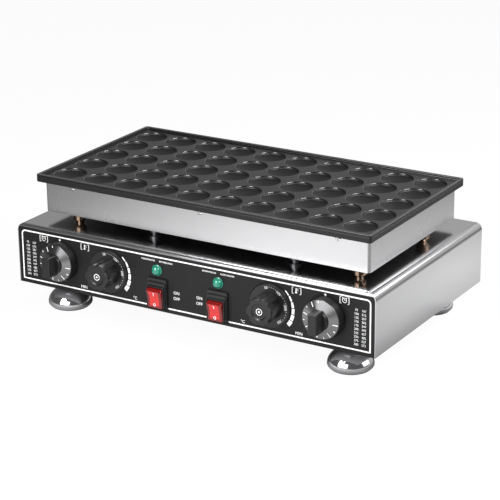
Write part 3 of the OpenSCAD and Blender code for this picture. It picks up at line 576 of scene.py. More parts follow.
def fine_mottle(tree, given, spot):
    """Uneven tone at one scale and a finer grain for the relief, as on mouldings and castings."""
    return {"Shade": noise(tree, spot, 4, given["Scale"]), "Height": noise(tree, spot, 2, given["Grain"])}


def handling_marks(tree, given, spot):
    """Patches where a wiped surface is a little duller."""
    return {"Dullness": remap(tree, noise(tree, spot, 5, given["Scale"], 0.65), (0.45, 0.7))}


def height_band(tree, given, spot):
    """1 inside a band of heights, 0 outside it."""
    height = out_of(tree, "ShaderNodeSeparateXYZ", {"Vector": spot}, "Z")
    return {"Inside": calc(tree, "COMPARE", height, given["Height"], given["Reach"])}


def panel_window(tree, given, spot):
    """1 inside an upright window that is mirrored about the middle of the front, 0 outside it."""
    here, middle, half = (
        add_node(tree, "ShaderNodeSeparateXYZ", {"Vector": source}).outputs
        for source in (spot, given["Middle"], given["Half"]))
    across = calc(tree, "COMPARE", calc(tree, "ABSOLUTE", here["X"]), middle["X"], half["X"])
    upright = calc(tree, "COMPARE", here["Z"], middle["Z"], half["Z"])
    return {"Inside": calc(tree, "MULTIPLY", across, upright)}


PATTERN_INPUTS = {
    brushed_lines: {"Stretch": (40, 4000, 4000)},
    fine_mottle: {"Scale": 300, "Grain": 2500},
    handling_marks: {"Scale": 25},
    height_band: {"Height": 0, "Reach": MM},
    panel_window: {"Middle": (0, 0, 0), "Half": (1, 1, 1)},
}
pattern_groups = {}


def pattern_group(pattern):
    """The shader group of a pattern, made once."""
    if pattern not in pattern_groups:
        tree = bpy.data.node_groups.new(pattern.__name__, "ShaderNodeTree")
        for label, default in PATTERN_INPUTS[pattern].items():
            kind = "NodeSocketVector" if isinstance(default, tuple) else "NodeSocketFloat"
            tree.interface.new_socket(label, in_out="INPUT", socket_type=kind).default_value = default
        results = pattern(tree, tree.nodes.new("NodeGroupInput").outputs, object_spot(tree))
        for label in results:
            tree.interface.new_socket(label, in_out="OUTPUT", socket_type="NodeSocketFloat")
        add_node(tree, "NodeGroupOutput", results)
        pattern_groups[pattern] = tree
    return pattern_groups[pattern]


def use_pattern(tree, pattern, **values):
    return add_node(tree, "ShaderNodeGroup", values, node_tree=pattern_group(pattern)).outputs


# Finishes: a tone is a colour or the name of one of the user's colours


INNER = {"mottle": (220, 1200), "spread": 0.2, "relief": 0.2}
BRUSHED = {"metallic": 1, "lines": (30, 1500, 1500), "dull": 0.06}
FINISHES = {
    "brushed_stainless": {
        "tone": "steel", "rough": (0.2, 0.3), "metallic": 1, "lines": (1800, 1800, 25),
        "spread": 0.07, "relief": 0.03, "dull": 0.03},
    "polished_stainless": {
        "tone": "steel", "rough": (0.135, 0.15), "metallic": 1, "lines": (30, 2500, 2500),
        "spread": 0.04, "relief": 0.003, "dull": 0.02},
    "mill_steel": {"tone": (0.55, 0.55, 0.56), "rough": (0.3, 0.45), "spread": 0.1, **BRUSHED},
    "baked_steel": {"tone": (0.16, 0.15, 0.14), "rough": (0.35, 0.5), "spread": 0.2, **BRUSHED},
    "zinc_plate": {
        "tone": (0.62, 0.63, 0.65), "rough": (0.22, 0.36), "metallic": 1, "mottle": (600, 3000),
        "spread": 0.1},
    "nonstick_coat": {
        "tone": "coat", "rough": (0.25, 0.32), "mottle": (400, 2600), "spread": 0.3, "relief": 0.06},
    "panel_paint": {
        "tone": "panel", "rough": (0.38, 0.46), "mottle": (60, 4000), "spread": 0.12, "relief": 0.05,
        "dull": 0.05, "sockets": {"Specular IOR Level": 0.3}},
    "white_ink": {"tone": "ink", "rough": (0.45, 0.55), "mottle": (900, 4000), "spread": 0.04},
    "black_plastic": {
        "tone": "plastic", "rough": (0.27, 0.33), "mottle": (150, 3500), "spread": 0.2, "relief": 0.02},
    "spun_dial": {
        "tone": (0.26, 0.26, 0.265), "rough": (0.18, 0.24), "metallic": 1, "mottle": (800, 5000),
        "spread": 0.06, "relief": 0.02, "sockets": {"Anisotropic": 0.7, "Anisotropic Rotation": 0.25}},
    "rocker_red": {
        "tone": "rocker", "rough": (0.14, 0.2), "mottle": (90, 1500), "spread": 0.15, "relief": 0.02,
        "sockets": {"Coat Weight": 0.5, "Coat Roughness": 0.06, "IOR": 1.5}},
    "lens_green": {
        "tone": "lens", "rough": (0.06, 0.1), "mottle": (250, 900), "spread": 0.35, "relief": 0.05,
        "sockets": {"Coat Weight": 1, "Coat Roughness": 0.03}},
    "foot_chrome": {
        "tone": "chrome", "rough": (0.08, 0.12), "metallic": 1, "mottle": (120, 900), "spread": 0.03,
        "relief": 0.002, "dull": 0.01},
    "pillar_brass": {
        "tone": "brass", "rough": (0.1, 0.17), "metallic": 1, "mottle": (350, 1800), "spread": 0.16,
        "relief": 0.02},
    # Steel of a dark tone, for the wire conduits.
    "blackened_steel": {
        "tone": (0.13, 0.13, 0.135), "rough": (0.25, 0.35), "metallic": 1, "mottle": (350, 2400),
        "spread": 0.15},
    "foot_rubber": {
        "tone": (0.02, 0.02, 0.02), "rough": (0.6, 0.75), "mottle": (300, 1600), "spread": 0.3,
        "relief": 0.3},
    "mineral_wool": {"tone": (0.7, 0.62, 0.45), "rough": (0.85, 0.95), **INNER},
    "oxidised_sheath": {"tone": (0.2, 0.18, 0.17), "rough": (0.4, 0.55), "metallic": 1, **INNER},
    "drawn_copper": {"tone": (0.72, 0.4, 0.24), "rough": (0.25, 0.35), "metallic": 1, **INNER},
    "pressed_metal": {"tone": (0.55, 0.55, 0.55), "rough": (0.35, 0.5), "metallic": 1, **INNER},
    "terminal_moulding": {"tone": (0.8, 0.78, 0.7), "rough": (0.45, 0.55), **INNER},
}
materials_made = {}


def rgba(tone, share):
    return [min(1, c * share) for c in tone] + [1]


def make_material(name, tone, rough, metallic=0, lines=None, mottle=None, spread=0, relief=0.1, dull=0,
                  sockets=None):
    """A Principled material whose tone, roughness and relief follow a shared pattern."""
    if isinstance(tone, str):
        tone = getattr(bpy.context.scene.pancake_colours, tone)
    material = bpy.data.materials.new(name)
    material.use_nodes = True
    tree = material.node_tree
    if lines:
        marks = use_pattern(tree, brushed_lines, Stretch=lines)
    else:
        marks = use_pattern(tree, fine_mottle, Scale=mottle[0], Grain=mottle[1])
    gloss = remap(tree, marks["Shade"], end=rough)
    if dull:
        gloss = calc(tree, "MULTIPLY_ADD", use_pattern(tree, handling_marks)["Dullness"], dull, gloss)
    feed(tree, tree.nodes["Principled BSDF"], {
        "Metallic": metallic,
        "Base Color": mix_tones(tree, marks["Shade"], rgba(tone, 1 - spread), rgba(tone, 1 + spread)),
        "Roughness": gloss,
        "Normal": out_of(tree, "ShaderNodeBump", {
            "Height": marks["Height"], "Strength": relief, "Distance": 0.1 * MM}),
        **(sockets or {})})
    return material


def finish(name):
    """A material by its name, made once."""
    if name not in materials_made:
        materials_made[name] = make_material(name, **FINISHES[name])
    return materials_made[name]


def shader_of(material):
    """A material's tree, its shader and what feeds the shader so far."""
    tree = material.node_tree
    shader = tree.nodes["Principled BSDF"]
    linked = [socket for socket in shader.inputs if socket.links]
    return tree, shader, {socket.name: socket.links[0].from_socket for socket in linked}


def coat_finish(tone, surface, depth):
    """Non-stick coat: dull inside the pockets, glossier on their shoulders, with a painted highlight line
    along the rim's top.
    """
    shoulder = 0.5 * MM
    highlight_reach = 0.8 * MM
    dull, shiny, highlight_gain = 0.46, 0.15, 9
    material = finish("nonstick_coat")
    tree, shader, fed = shader_of(material)
    # The third band, along the rim's top, is where a painted highlight makes the coat's colour much
    # lighter.
    inside, edge, rim = (
        use_pattern(tree, height_band, Height=height, Reach=reach)["Inside"]
        for height, reach in (
            (surface - depth / 2 - 2 * shoulder, depth / 2),
            (surface - shoulder, 0.9 * shoulder),
            (PLATE_TOP, highlight_reach)))
    rough = fed["Roughness"]
    for share, value in ((inside, dull), (edge, shiny)):
        rough = out_of(tree, "ShaderNodeMix", {0: share, 2: rough, 3: value})
    # Base Color: painted highlight, a lighter line along the rim's top.
    feed(tree, shader, {
        "Roughness": rough, "Coat Weight": edge, "Coat Roughness": shiny,
        "Base Color": mix_tones(tree, rim, fed["Base Color"], rgba(tone, highlight_gain))})
    return material


def dial_finish():
    """Metal turned on a lathe, its gloss drawn out around the axis."""
    material = finish("spun_dial")
    tree, shader, fed = shader_of(material)
    if "Tangent" not in fed:
        around = out_of(tree, "ShaderNodeTangent", direction_type="RADIAL", axis="Y")
        feed(tree, shader, {"Tangent": around})
    return material


def rocker_finish(tone, middle, half_w, half_h):
    """Red moulding with painted shade on the border around its face, so the face is lighter than the
    border.
    """
    shaded_border_share = 0.3
    known = "rocker_red" in materials_made
    material = finish("rocker_red")
    if not known:
        tree, shader, fed = shader_of(material)
        face = use_pattern(
            tree, panel_window, Middle=(abs(middle.x), 0, middle.z), Half=(half_w, 0, half_h))["Inside"]
        # Painted shade: outside the face window the red is darkened to stand for the shaded rim round the
        # rocker's face.
        border = rgba(tone, shaded_border_share)
        feed(tree, shader, {"Base Color": mix_tones(tree, face, border, fed["Base Color"])})
    return material


# Cooking head


def plate_loop(plate, w, d, radius):
    """A loop round the plate whose straight sides have as many points as the tiles along them."""
    corners = rect_corners(w - 2 * radius, d - 2 * radius)
    step = math.pi / 2 / CORNER_STEPS
    loop = []
    for k, start in enumerate(corners):
        end = corners[(k + 1) % 4]
        points = PER_TILE * (plate.columns if k % 2 else plate.rows)
        first = math.pi / 2 * k
        loop += [start.lerp(end, t / points) + polar(radius, first) for t in range(points + 1)]
        loop += [end + polar(radius, first + step * t) for t in range(1, CORNER_STEPS)]
    return loop


def pocket_tile(plate):
    """One square of the cooking surface with its pocket and the pocket's rounded shoulder."""
    deep = plate.pocket_depth
    half = plate.pocket_d / 2
    floor_r = half - plate.pocket_draft
    rise = deep - plate.pocket_wall
    ball = (floor_r * floor_r + rise * rise) / (2 * rise)
    dish_steps = 6
    dish_share = 0.92
    floor_edge = 1.3 * plate.shoulder
    flat_from = half + 1.6 * plate.shoulder
    corners = []
    for k in range(1, dish_steps + 1):
        radius = floor_r * dish_share * k / dish_steps
        corners.append((radius, ball - math.sqrt(ball * ball - radius * radius) - deep, 0))
    corners += [(floor_r, -plate.pocket_wall, floor_edge), (half, 0, plate.shoulder), (flat_from, 0, 0)]
    ends = rect_corners(plate.pitch, plate.pitch)
    square = []
    for k, end in enumerate(ends):
        square += [end.lerp(ends[(k + 1) % 4], t / PER_TILE) for t in range(PER_TILE)]
    rings = [([p.normalized() * radius for p in square], z) for radius, z in soften(corners)]
    bm = bmesh.new()
    stack(bm, [(POLE, -deep), *rings, (square, 0)])
    return mesh_of(bm, "pocket_tile")


def plate_frame(plate):
    """The rim, lip, lower block and underside around the grid of tiles; Z = 0 is the cooking surface."""
    rim_corner = 3 * MM
    plug_corner = 4 * MM
    low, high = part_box("grill_plate")
    tray_low, tray_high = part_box("heater_tray")
    outer = high - low
    plug = tray_high - tray_low
    edge = plate.edge
    inner_w = 2 * plate.rim_w
    fillet = [(inner_w + 1.6 * MM, 0), (inner_w + 0.3 * MM, 0.3 * MM), (inner_w, 1.2 * MM)]
    inside = [(inner_w - 2 * edge * (1 - c), plate.rim_h - edge * (1 - s)) for s, c in quarter(3)]
    outside = [(2 * edge * (1 - s), plate.rim_h - edge * (1 - c)) for s, c in quarter(3)]
    lip = [(2 * edge * (1 - c), edge * (1 - s) - plate.lip_h) for s, c in quarter(3)]
    profile = [(plate_loop(plate, plate.columns * plate.pitch, plate.rows * plate.pitch, 0), 0)]
    for shrink, z in fillet + inside + outside + lip:
        profile.append((plate_loop(plate, outer.x - shrink, outer.y - shrink, rim_corner), z))
    for z in (-plate.lip_h, plate.rim_h - outer.z):
        profile.append((plate_loop(plate, plug.x, plug.y, plug_corner), z))
    bm = bmesh.new()
    stack(bm, profile, caps=(-1,))
    bmesh.ops.remove_doubles(bm, verts=bm.verts, dist=WELD)
    return mesh_of(bm, "plate_frame")


class MakeCookingPlate(bpy.types.Operator):
    """Cast plate with its rim and its grid of rounded pockets"""

    bl_idname = "pancake.cooking_plate"
    bl_label = "Cooking Plate"

    def execute(self, context):
        plate = context.scene.pancake_plate
        surface = PLATE_TOP - plate.rim_h
        material = coat_finish(context.scene.pancake_colours.coat, surface, plate.pocket_depth)
        tile = link_new("pocket_tile", pocket_tile(plate))
        mesh = run_tree(pocket_grid_tree(), plate_frame(plate), {
            "Tile": tile, "Columns": plate.columns, "Rows": plate.rows, "Material": material,
            "Width": (plate.columns - 1) * plate.pitch, "Depth": (plate.rows - 1) * plate.pitch})
        drop(tile)
        make_piece("cooking_plate", lambda bm: bm.from_mesh(mesh), raised(surface), "base",
                   material, ["grill_plate"], sharp=60)
        bpy.data.meshes.remove(mesh)
        return {"FINISHED"}


class MakeHeaterBox(bpy.types.Operator):
    """Bright skirt, pan and inner works of the cooking head"""

    bl_idname = "pancake.heater_box"
    bl_label = "Heater Box"

    def execute(self, context):
        smooth_node("heater_skirt", finish("brushed_stainless"))
        smooth_node("heater_tray", finish("baked_steel"))
        paint_nodes(finish("mineral_wool"), "insulation_mat")
        paint_nodes(finish("oxidised_sheath"), "heating_element_left", "heating_element_right")
        paint_nodes(finish("drawn_copper"), "sensor_left", "sensor_right")
        paint_nodes(finish("mill_steel"), "element_clamps")
        paint_nodes(finish("zinc_plate"), "clamp_screws", "standoff_bolts", "standoff_nuts")
        return {"FINISHED"}


def pillar_places():
    """Middles of the pillars: the centres of the CAD node's separate solids."""
    bm = bmesh.new()
    bm.from_mesh(frame["nodes"]["standoffs"].data)
    bmesh.ops.remove_doubles(bm, verts=bm.verts, dist=WELD)
    places = []
    left = set(bm.verts)
    while left:
        island = {left.pop()}
        edge = set(island)
        while edge:
            edge = {e.other_vert(v) for v in edge for e in v.link_edges} - island
            island |= edge
        left -= island
        xs = [v.co.x for v in island]
        ys = [v.co.y for v in island]
        places.append(((min(xs) + max(xs)) / 2, (min(ys) + max(ys)) / 2))
    bm.free()
    return sorted(places)


class MakePillars(bpy.types.Operator):
    """Turned pillars and wire conduits between the head and the base"""

    bl_idname = "pancake.pillars"
    bl_label = "Pillars"

    def execute(self, context):
        make_piece("pillars", self.pillars, None, "base", finish("pillar_brass"),
                   ["standoffs"])
        smooth_node("wire_conduits", finish("blackened_steel"))
        return {"FINISHED"}

    def pillars(self, bm):
        """Thin feet that flare into wider heads, around bores."""
        low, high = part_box("standoffs")
        tall = (high.z - low.z) / MM
        bore_r, foot_r, head_r = 3.1, 5.5, 9.25
        flare_low = 0.2 * tall
        flare_high = 0.45 * tall
        corners = [
            (bore_r, 0, 0), (foot_r, 0, 0.3), (foot_r, flare_low, 1), (head_r, flare_high, 0.6),
            (head_r, tall, 0.4), (bore_r, tall, 0)]
        for x, y in pillar_places():
            place = Matrix.Translation((x, y, low.z))
            put(bm, place, lambda part: lathe(part, corners, 48, closed=True))


# Base


class MakeBase(bpy.types.Operator):
    """Sheet metal of the base and what is bolted inside it"""

    bl_idname = "pancake.base"
    bl_label = "Base"

    def execute(self, context):
        smooth_node("base_shell", finish("polished_stainless"))
        smooth_node("control_panel", finish("panel_paint"))
        smooth_node("back_panel", finish("brushed_stainless"))
        smooth_node("bottom_plate", finish("mill_steel"))
        controls = [f"{kind}_body_{side}" for kind in ("timer", "thermostat") for side in SIDES]
        shafts = [f"{kind}_shaft_{side}" for kind in ("timer", "thermostat") for side in SIDES]
        paint_nodes(finish("pressed_metal"), *controls)
        paint_nodes(finish("zinc_plate"), "control_screws", "lamp_nuts", "foot_nuts", "terminal_screws",
                    *shafts)
        paint_nodes(finish("terminal_moulding"), "terminal_block")
        plastic = finish("black_plastic")
        paint_nodes(plastic, "gland_locknut", "lamp_holder_left", "lamp_holder_right")
        smooth_node("cable_gland", plastic)
        smooth_node("gland_cap", plastic)
        return {"FINISHED"}


def screw_head(head_d, head_h):
    """A pan head with a raised cross, its shank along -Z."""
    shank_r, shank_l = 2, 3
    r = head_d / 2 / MM
    h = head_h / MM
    arm = round_rect(0.6 * head_d, 0.12 * head_d, 0)
    bm = bmesh.new()
    lathe(bm, [
        (0, -shank_l, 0), (shank_r, -shank_l, 0), (shank_r, 0, 0), (r, 0, 0), (r, 0.35 * h, 0.3 * h),
        (0.7 * r, h, 0.5 * h), (0, h, 0)], 24)
    for turn in (0, 90):
        put(bm, turned(turn), lambda part: slab(part, arm, 0.9 * head_h, 1.03 * head_h))
    return bm


class MakeScrews(bpy.types.Operator):
    """Screws of the skirt and of the floor pan"""

    bl_idname = "pancake.screws"
    bl_label = "Screws"

    def execute(self, context):
        tree = screw_set_tree()
        low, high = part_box("heater_skirt")
        screw_low, screw_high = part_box("skirt_screws")
        head_r = (screw_high.z - screw_low.z) / 2
        outer = screw_high.x - head_r
        skirt = [(Vector((x, y, screw_low.z + head_r)), Vector((0, way, 0)))
                 for way, y in ((-1, low.y), (1, high.y)) for x in (-outer, 0, outer)]
        self.set_on(tree, "skirt_screw_heads", skirt, 2 * head_r, low.y - screw_low.y, "skirt_screws")
        floor_low, floor_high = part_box("bottom_screws")
        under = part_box("bottom_plate")[0].z
        side_x = floor_high.x - head_r
        side_y = floor_high.y - head_r
        inner_x, inner_y = 0.6, 0.4
        places = [(x, y) for x in (-1, 1) for y in (-inner_y, 0, inner_y)]
        places += [(x, y) for x in (-inner_x, 0, inner_x) for y in (-1, 1)]
        floor = [(Vector((x * side_x, y * side_y, under)), Vector((0, 0, -1))) for x, y in places]
        self.set_on(tree, "floor_screw_heads", floor, 2 * head_r, under - floor_low.z, "bottom_screws")
        return {"FINISHED"}

    def set_on(self, tree, name, points, head_d, head_h, node):
        screw = link_new("screw", settle(screw_head(head_d, head_h), "screw"))
        start = bpy.data.meshes.new("points")
        start.from_pydata([spot for spot, axis in points], [], [])
        axes = start.attributes.new("axis", "FLOAT_VECTOR", "POINT")
        for k, (spot, axis) in enumerate(points):
            axes.data[k].vector = axis
        material = finish("zinc_plate")
        mesh = run_tree(tree, start, {"Screw": screw, "Material": material})
        mesh.name = name
        drop(screw)
        add_piece(name, mesh, "base", material, [node])


# Marks printed on the panel


class Marks:
    """Flat marks about an origin, in millimetres."""

    def __init__(self, bm, sizes, x=0, y=0):
        self.bm = bm
        self.sizes = sizes
        self.x = x
        self.y = y

    def moved(self, x, y):
        return Marks(self.bm, self.sizes, self.x + x, self.y + y)

    def place(self, x, y):
        return Matrix.Translation(((self.x + x) * MM, (self.y + y) * MM, 0))

    def shape(self, outline, x=0, y=0):
        put(self.bm, self.place(x, y), lambda part: slab(part, outline, 0, self.sizes.ink))

    def bar(self, x, y, w, h, radius=0):
        self.shape(round_rect(w * MM, h * MM, radius * MM), x, y)

    def dot(self, x, y, radius, points):
        self.shape(circle(radius * MM, points), x, y)

    def words(self, x, y, text, height):
        letters(self.bm, text, height, self.place(x, y), self.sizes.ink)

    def border(self):
        """Line round the panel with round upper corners."""
        sizes = self.sizes
        small = 1.5 * MM

        def outline(shrink):
            x = sizes.border_x - shrink
            low = sizes.border_low + shrink
            high = sizes.border_high - shrink
            top = sizes.border_r - shrink
            return soften([(x, low, small), (x, high, top), (-x, high, top), (-x, low, small)], 8)

        band(self.bm, outline(0), outline(sizes.border_w), 0, sizes.ink)

    def heat_wedge(self):
        """Blocks round a dial that grow from thin to thick."""
        inner, thin, grow, blocks = 32, 1, 4.4, 6
        first, last, gap = (math.radians(a) for a in (47, -43, 2.2))
        for k in range(blocks):
            a0 = first + (last - first) * k / blocks
            a1 = first + (last - first) * (k + 1) / blocks + gap
            outer = inner + thin + grow * (k + 1) / blocks
            corners = []
            for radius, start, end in ((outer, a1, a0), (inner, a0, a1)):
                corners += [polar(radius * MM, start + (end - start) * s / 4) for s in range(5)]
            self.shape(corners)

    def brackets(self):
        w, h, line, arm = 13, 9.5, 0.8, 2.4
        for side in (-1, 1):
            x = side * w / 2
            self.bar(x, 0, line, h)
            for end in (-1, 1):
                self.bar(x - side * (arm - line) / 2, end * (h - line) / 2, arm, line)

    def clock(self):
        """A ring with two hands, in brackets."""
        self.brackets()
        put(self.bm, self.place(0, 0), lambda part: band(
            part, circle(3.4 * MM, 32), circle(2.7 * MM, 32), 0, self.sizes.ink))
        self.bar(0, 0.9, 0.55, 2.2)
        self.bar(0.7, 0, 1.6, 0.55)
        for side in (-1, 1):
            self.dot(side * 2.6, 3.3, 0.7, 12)

    def thermometer(self):
        """A bulb with a stem and three lines, in brackets."""
        self.brackets()
        self.dot(-0.6, -2.2, 1.5, 24)
        self.bar(-0.6, 0.9, 1.3, 5.4, 0.6)
        for k in range(3):
            self.bar(1.9, 0.2 + 1.3 * k, 1.5, 0.5)

    def figure_table(self):
        """Two columns of figures: degrees Celsius and Fahrenheit."""
        rows, step, column = 10, 5.2, 5.4
        for k in range(rows):
            celsius = 75 + 25 * k
            fahrenheit = round(celsius * 9 / 5 + 32)
            for x, value in ((-column, celsius), (column, fahrenheit)):
                self.words(x, ((rows - 1) / 2 - k) * step, str(value), self.sizes.figure_h)

    def tick_row(self):
        """A short row of bars over a lamp."""
        bars, step = 11, 2
        for k in range(bars):
            self.bar(step * (k - (bars - 1) / 2), 0, 0.8, 2.2)


class PrintPanel(bpy.types.Operator):
    """White marks on the front panel"""

    bl_idname = "pancake.panel_print"
    bl_label = "Panel Print"

    def execute(self, context):
        sizes = context.scene.pancake_print
        make_piece("panel_print", lambda bm: self.marks(Marks(bm, sizes)), panel_place(0, BASE_FLOOR),
                   "base", finish("white_ink"))
        return {"FINISHED"}

    def marks(self, panel):
        words = {"MIN": (169.5, 11.5), "°C": (85, 11.5), "ON": (18, 31), "OFF": (18, 23)}
        panel.border()
        for side, sign in SIDES.items():
            timer = JOINT_AT[f"timer_{side}_turn"]
            thermostat = JOINT_AT[f"thermostat_{side}_turn"]
            panel.dot(timer.x / MM, 72.8, 1.5, 20)
            panel.moved(thermostat.x / MM, (timer.z - BASE_FLOOR) / MM).heat_wedge()
            panel.moved(sign * 235.5, 70.4).clock()
            panel.moved(sign * 166, 70).thermometer()
            panel.moved(sign * 258, 37.5).figure_table()
            for text, (x, y) in words.items():
                panel.words(sign * x, y, text, panel.sizes.word_h)
            for shift in (-14, 14):
                panel.moved(sign * 48 + shift, 71.5).tick_row()


# Knobs


def cone_rise(knob, radius):
    """Height of a timer's coned face over its edge, at a distance from the middle."""
    edge = knob.timer_face_d / 2
    return knob.timer_cone_h * (edge - radius) / (edge - knob.timer_hub_d / 2)


class MakeTimerKnobs(bpy.types.Operator):
    """Bar knobs on thick dials with spun metal faces and tick marks"""

    bl_idname = "pancake.timer_knobs"
    bl_label = "Timer Knobs"

    def execute(self, context):
        knob = context.scene.pancake_knobs
        tree = dial_ticks_tree()
        inlay = 0.25 * MM
        for side in SIDES:
            body = f"timer_{side}"
            node = f"timer_knob_{side}"
            place = joint_place(f"timer_{side}_turn")
            make_piece(f"timer_grip_{side}", lambda bm: self.grip(bm, knob, half_width(node)), place,
                       body, finish("black_plastic"), [node])
            make_piece(f"timer_face_{side}", lambda bm: self.face_ring(bm, knob, inlay / MM), place,
                       body, dial_finish())
            material = finish("white_ink")
            mesh = run_tree(tree, bpy.data.meshes.new("ticks"), {
                "Count": knob.ticks, "Radius": knob.timer_face_d / 2 - 1.6 * MM, "Start": math.radians(-8),
                "Step": math.radians(-23.2), "Length": 6.5 * MM, "Width": MM, "Short": 0.4,
                "Ink": 2 * context.scene.pancake_print.ink, "Material": material})
            for vertex in mesh.vertices:
                vertex.co.z += cone_rise(knob, vertex.co.xy.length)
            mesh.transform(place @ raised(knob.gap + knob.timer_t + inlay))
            add_piece(f"timer_ticks_{side}", mesh, body, material)
        return {"FINISHED"}

    def grip(self, bm, knob, r):
        """Tapered dial, hub and bar."""
        gap = knob.gap / MM
        face = gap + knob.timer_t / MM
        hub_r = knob.timer_hub_d / 2 / MM
        top = face + knob.timer_hub_h / MM
        lathe(bm, [
            (0, gap, 0), (r, gap, 0.3), (r, gap + 1.5, 0.5), (knob.timer_face_d / 2 / MM, face, 0.4),
            (hub_r, face + knob.timer_cone_h / MM, 0.6), (hub_r, top, 1.4), (0, top, 0)], 96)
        spread = 0.6 * MM
        bar = round_rect(knob.bar_w, knob.bar_l, 2.2 * MM, 5)
        top = rounded_top(bar, knob.timer_reach, edge=1.2 * MM, steps=4)
        stack(bm, [(inset(bar, -spread), face * MM), *top], caps=BOTH_ENDS)

    def face_ring(self, bm, knob, high):
        """Thin coned ring that covers the dial's face from near its edge to the hub."""
        under = 0.2
        outer = knob.timer_face_d / 2 / MM - 0.7
        inner = knob.timer_hub_d / 2 / MM + 0.5
        edge, root = ((knob.gap + knob.timer_t + cone_rise(knob, r * MM)) / MM for r in (outer, inner))
        lathe(bm, [
            (inner, root - under, 0), (outer, edge - under, 0), (outer, edge + high, 0.15),
            (inner, root + high, 0)], 96, closed=True)


def fluted(radius, flutes, cut_r, depth, points=144):
    """Outline of a round grip with hollow flutes."""
    away = radius + cut_r - depth
    outline = []
    for k in range(points):
        a = 2 * math.pi * k / points
        off = (a - math.pi / 2 + math.pi / flutes) % (2 * math.pi / flutes) - math.pi / flutes
        reach = radius
        across = abs(away * math.sin(off))
        if across < cut_r:
            reach = min(radius, away * math.cos(off) - math.sqrt(cut_r * cut_r - across * across))
        outline.append(polar(reach, a))
    return outline


class MakeThermostatKnobs(bpy.types.Operator):
    """Fluted knobs with dished faces on numbered dials"""

    bl_idname = "pancake.thermostat_knobs"
    bl_label = "Thermostat Knobs"

    def execute(self, context):
        knob = context.scene.pancake_knobs
        ink = context.scene.pancake_print.ink
        for side in SIDES:
            body = f"thermostat_{side}"
            node = f"thermostat_knob_{side}"
            place = joint_place(f"thermostat_{side}_turn")
            r = half_width(node)
            make_piece(f"thermostat_grip_{side}", lambda bm: self.grip(bm, knob, r), place, body,
                       finish("black_plastic"), [node])
            make_piece(f"thermostat_figures_{side}", lambda bm: self.figures(bm, knob, r, ink), place, body,
                       finish("white_ink"))
        return {"FINISHED"}

    def grip(self, bm, knob, r):
        """Flat dial, and a fluted grip with a stepped hollow in its face."""
        gap = knob.gap / MM
        face = gap + knob.dial_t / MM
        hollow = ((12, 0), (11.2, 0.15), (10.2, 1.1), (9.4, 1.5), (6.2, 1.5), (5.6, 1.35), (0, 1.3))
        lathe(bm, [
            (0, gap, 0), (r, gap, 0.3), (r, gap + 1.2, 0.5), (r - 1.5, face, 0.4), (0, face, 0)], 96)
        outline = fluted(knob.grip_d / 2, knob.flutes, 7 * MM, 2 * MM)
        profile = [(outline, (face - 0.5) * MM), *rounded_top(outline, knob.reach, edge=1.1 * MM, steps=4)]
        for radius, deep in hollow:
            ring = circle(radius * MM, len(outline)) if radius else POLE
            profile.append((ring, knob.reach - deep * MM))
        stack(bm, profile, caps=(0,))

    def figures(self, bm, knob, r, ink):
        """Figures and dots round the dial, and a ring and a dot in the grip's hollow."""
        face = knob.gap + knob.dial_t
        radius = (knob.grip_d / 2 + r * MM) / 2
        dots = 4
        marks = {"50": 100, "100": 55, "200": 5, "300": -50}
        for words, at in marks.items():
            spot = turned(at) @ Matrix.Translation((radius, 0, face)) @ turned(-90)
            letters(bm, words, 3.6 * MM, spot, ink)
        angles = sorted(marks.values())
        for a0, a1 in zip(angles, angles[1:]):
            for k in range(1, dots + 1):
                turn = turned(a0 + (a1 - a0) * (k + 0.5) / (dots + 2))
                spot = turn @ Matrix.Translation((radius + 1.5 * MM, 0, face))
                put(bm, spot, lambda part: slab(part, circle(0.45 * MM, 10), 0, ink))
        low, high = (knob.reach - deep * MM for deep in (1.4, 1.2))
        band(bm, circle(4.6 * MM, 40), circle(3.7 * MM, 40), low, high)
        slab(bm, circle(1.4 * MM, 20), low, high)


# Switches and lamps


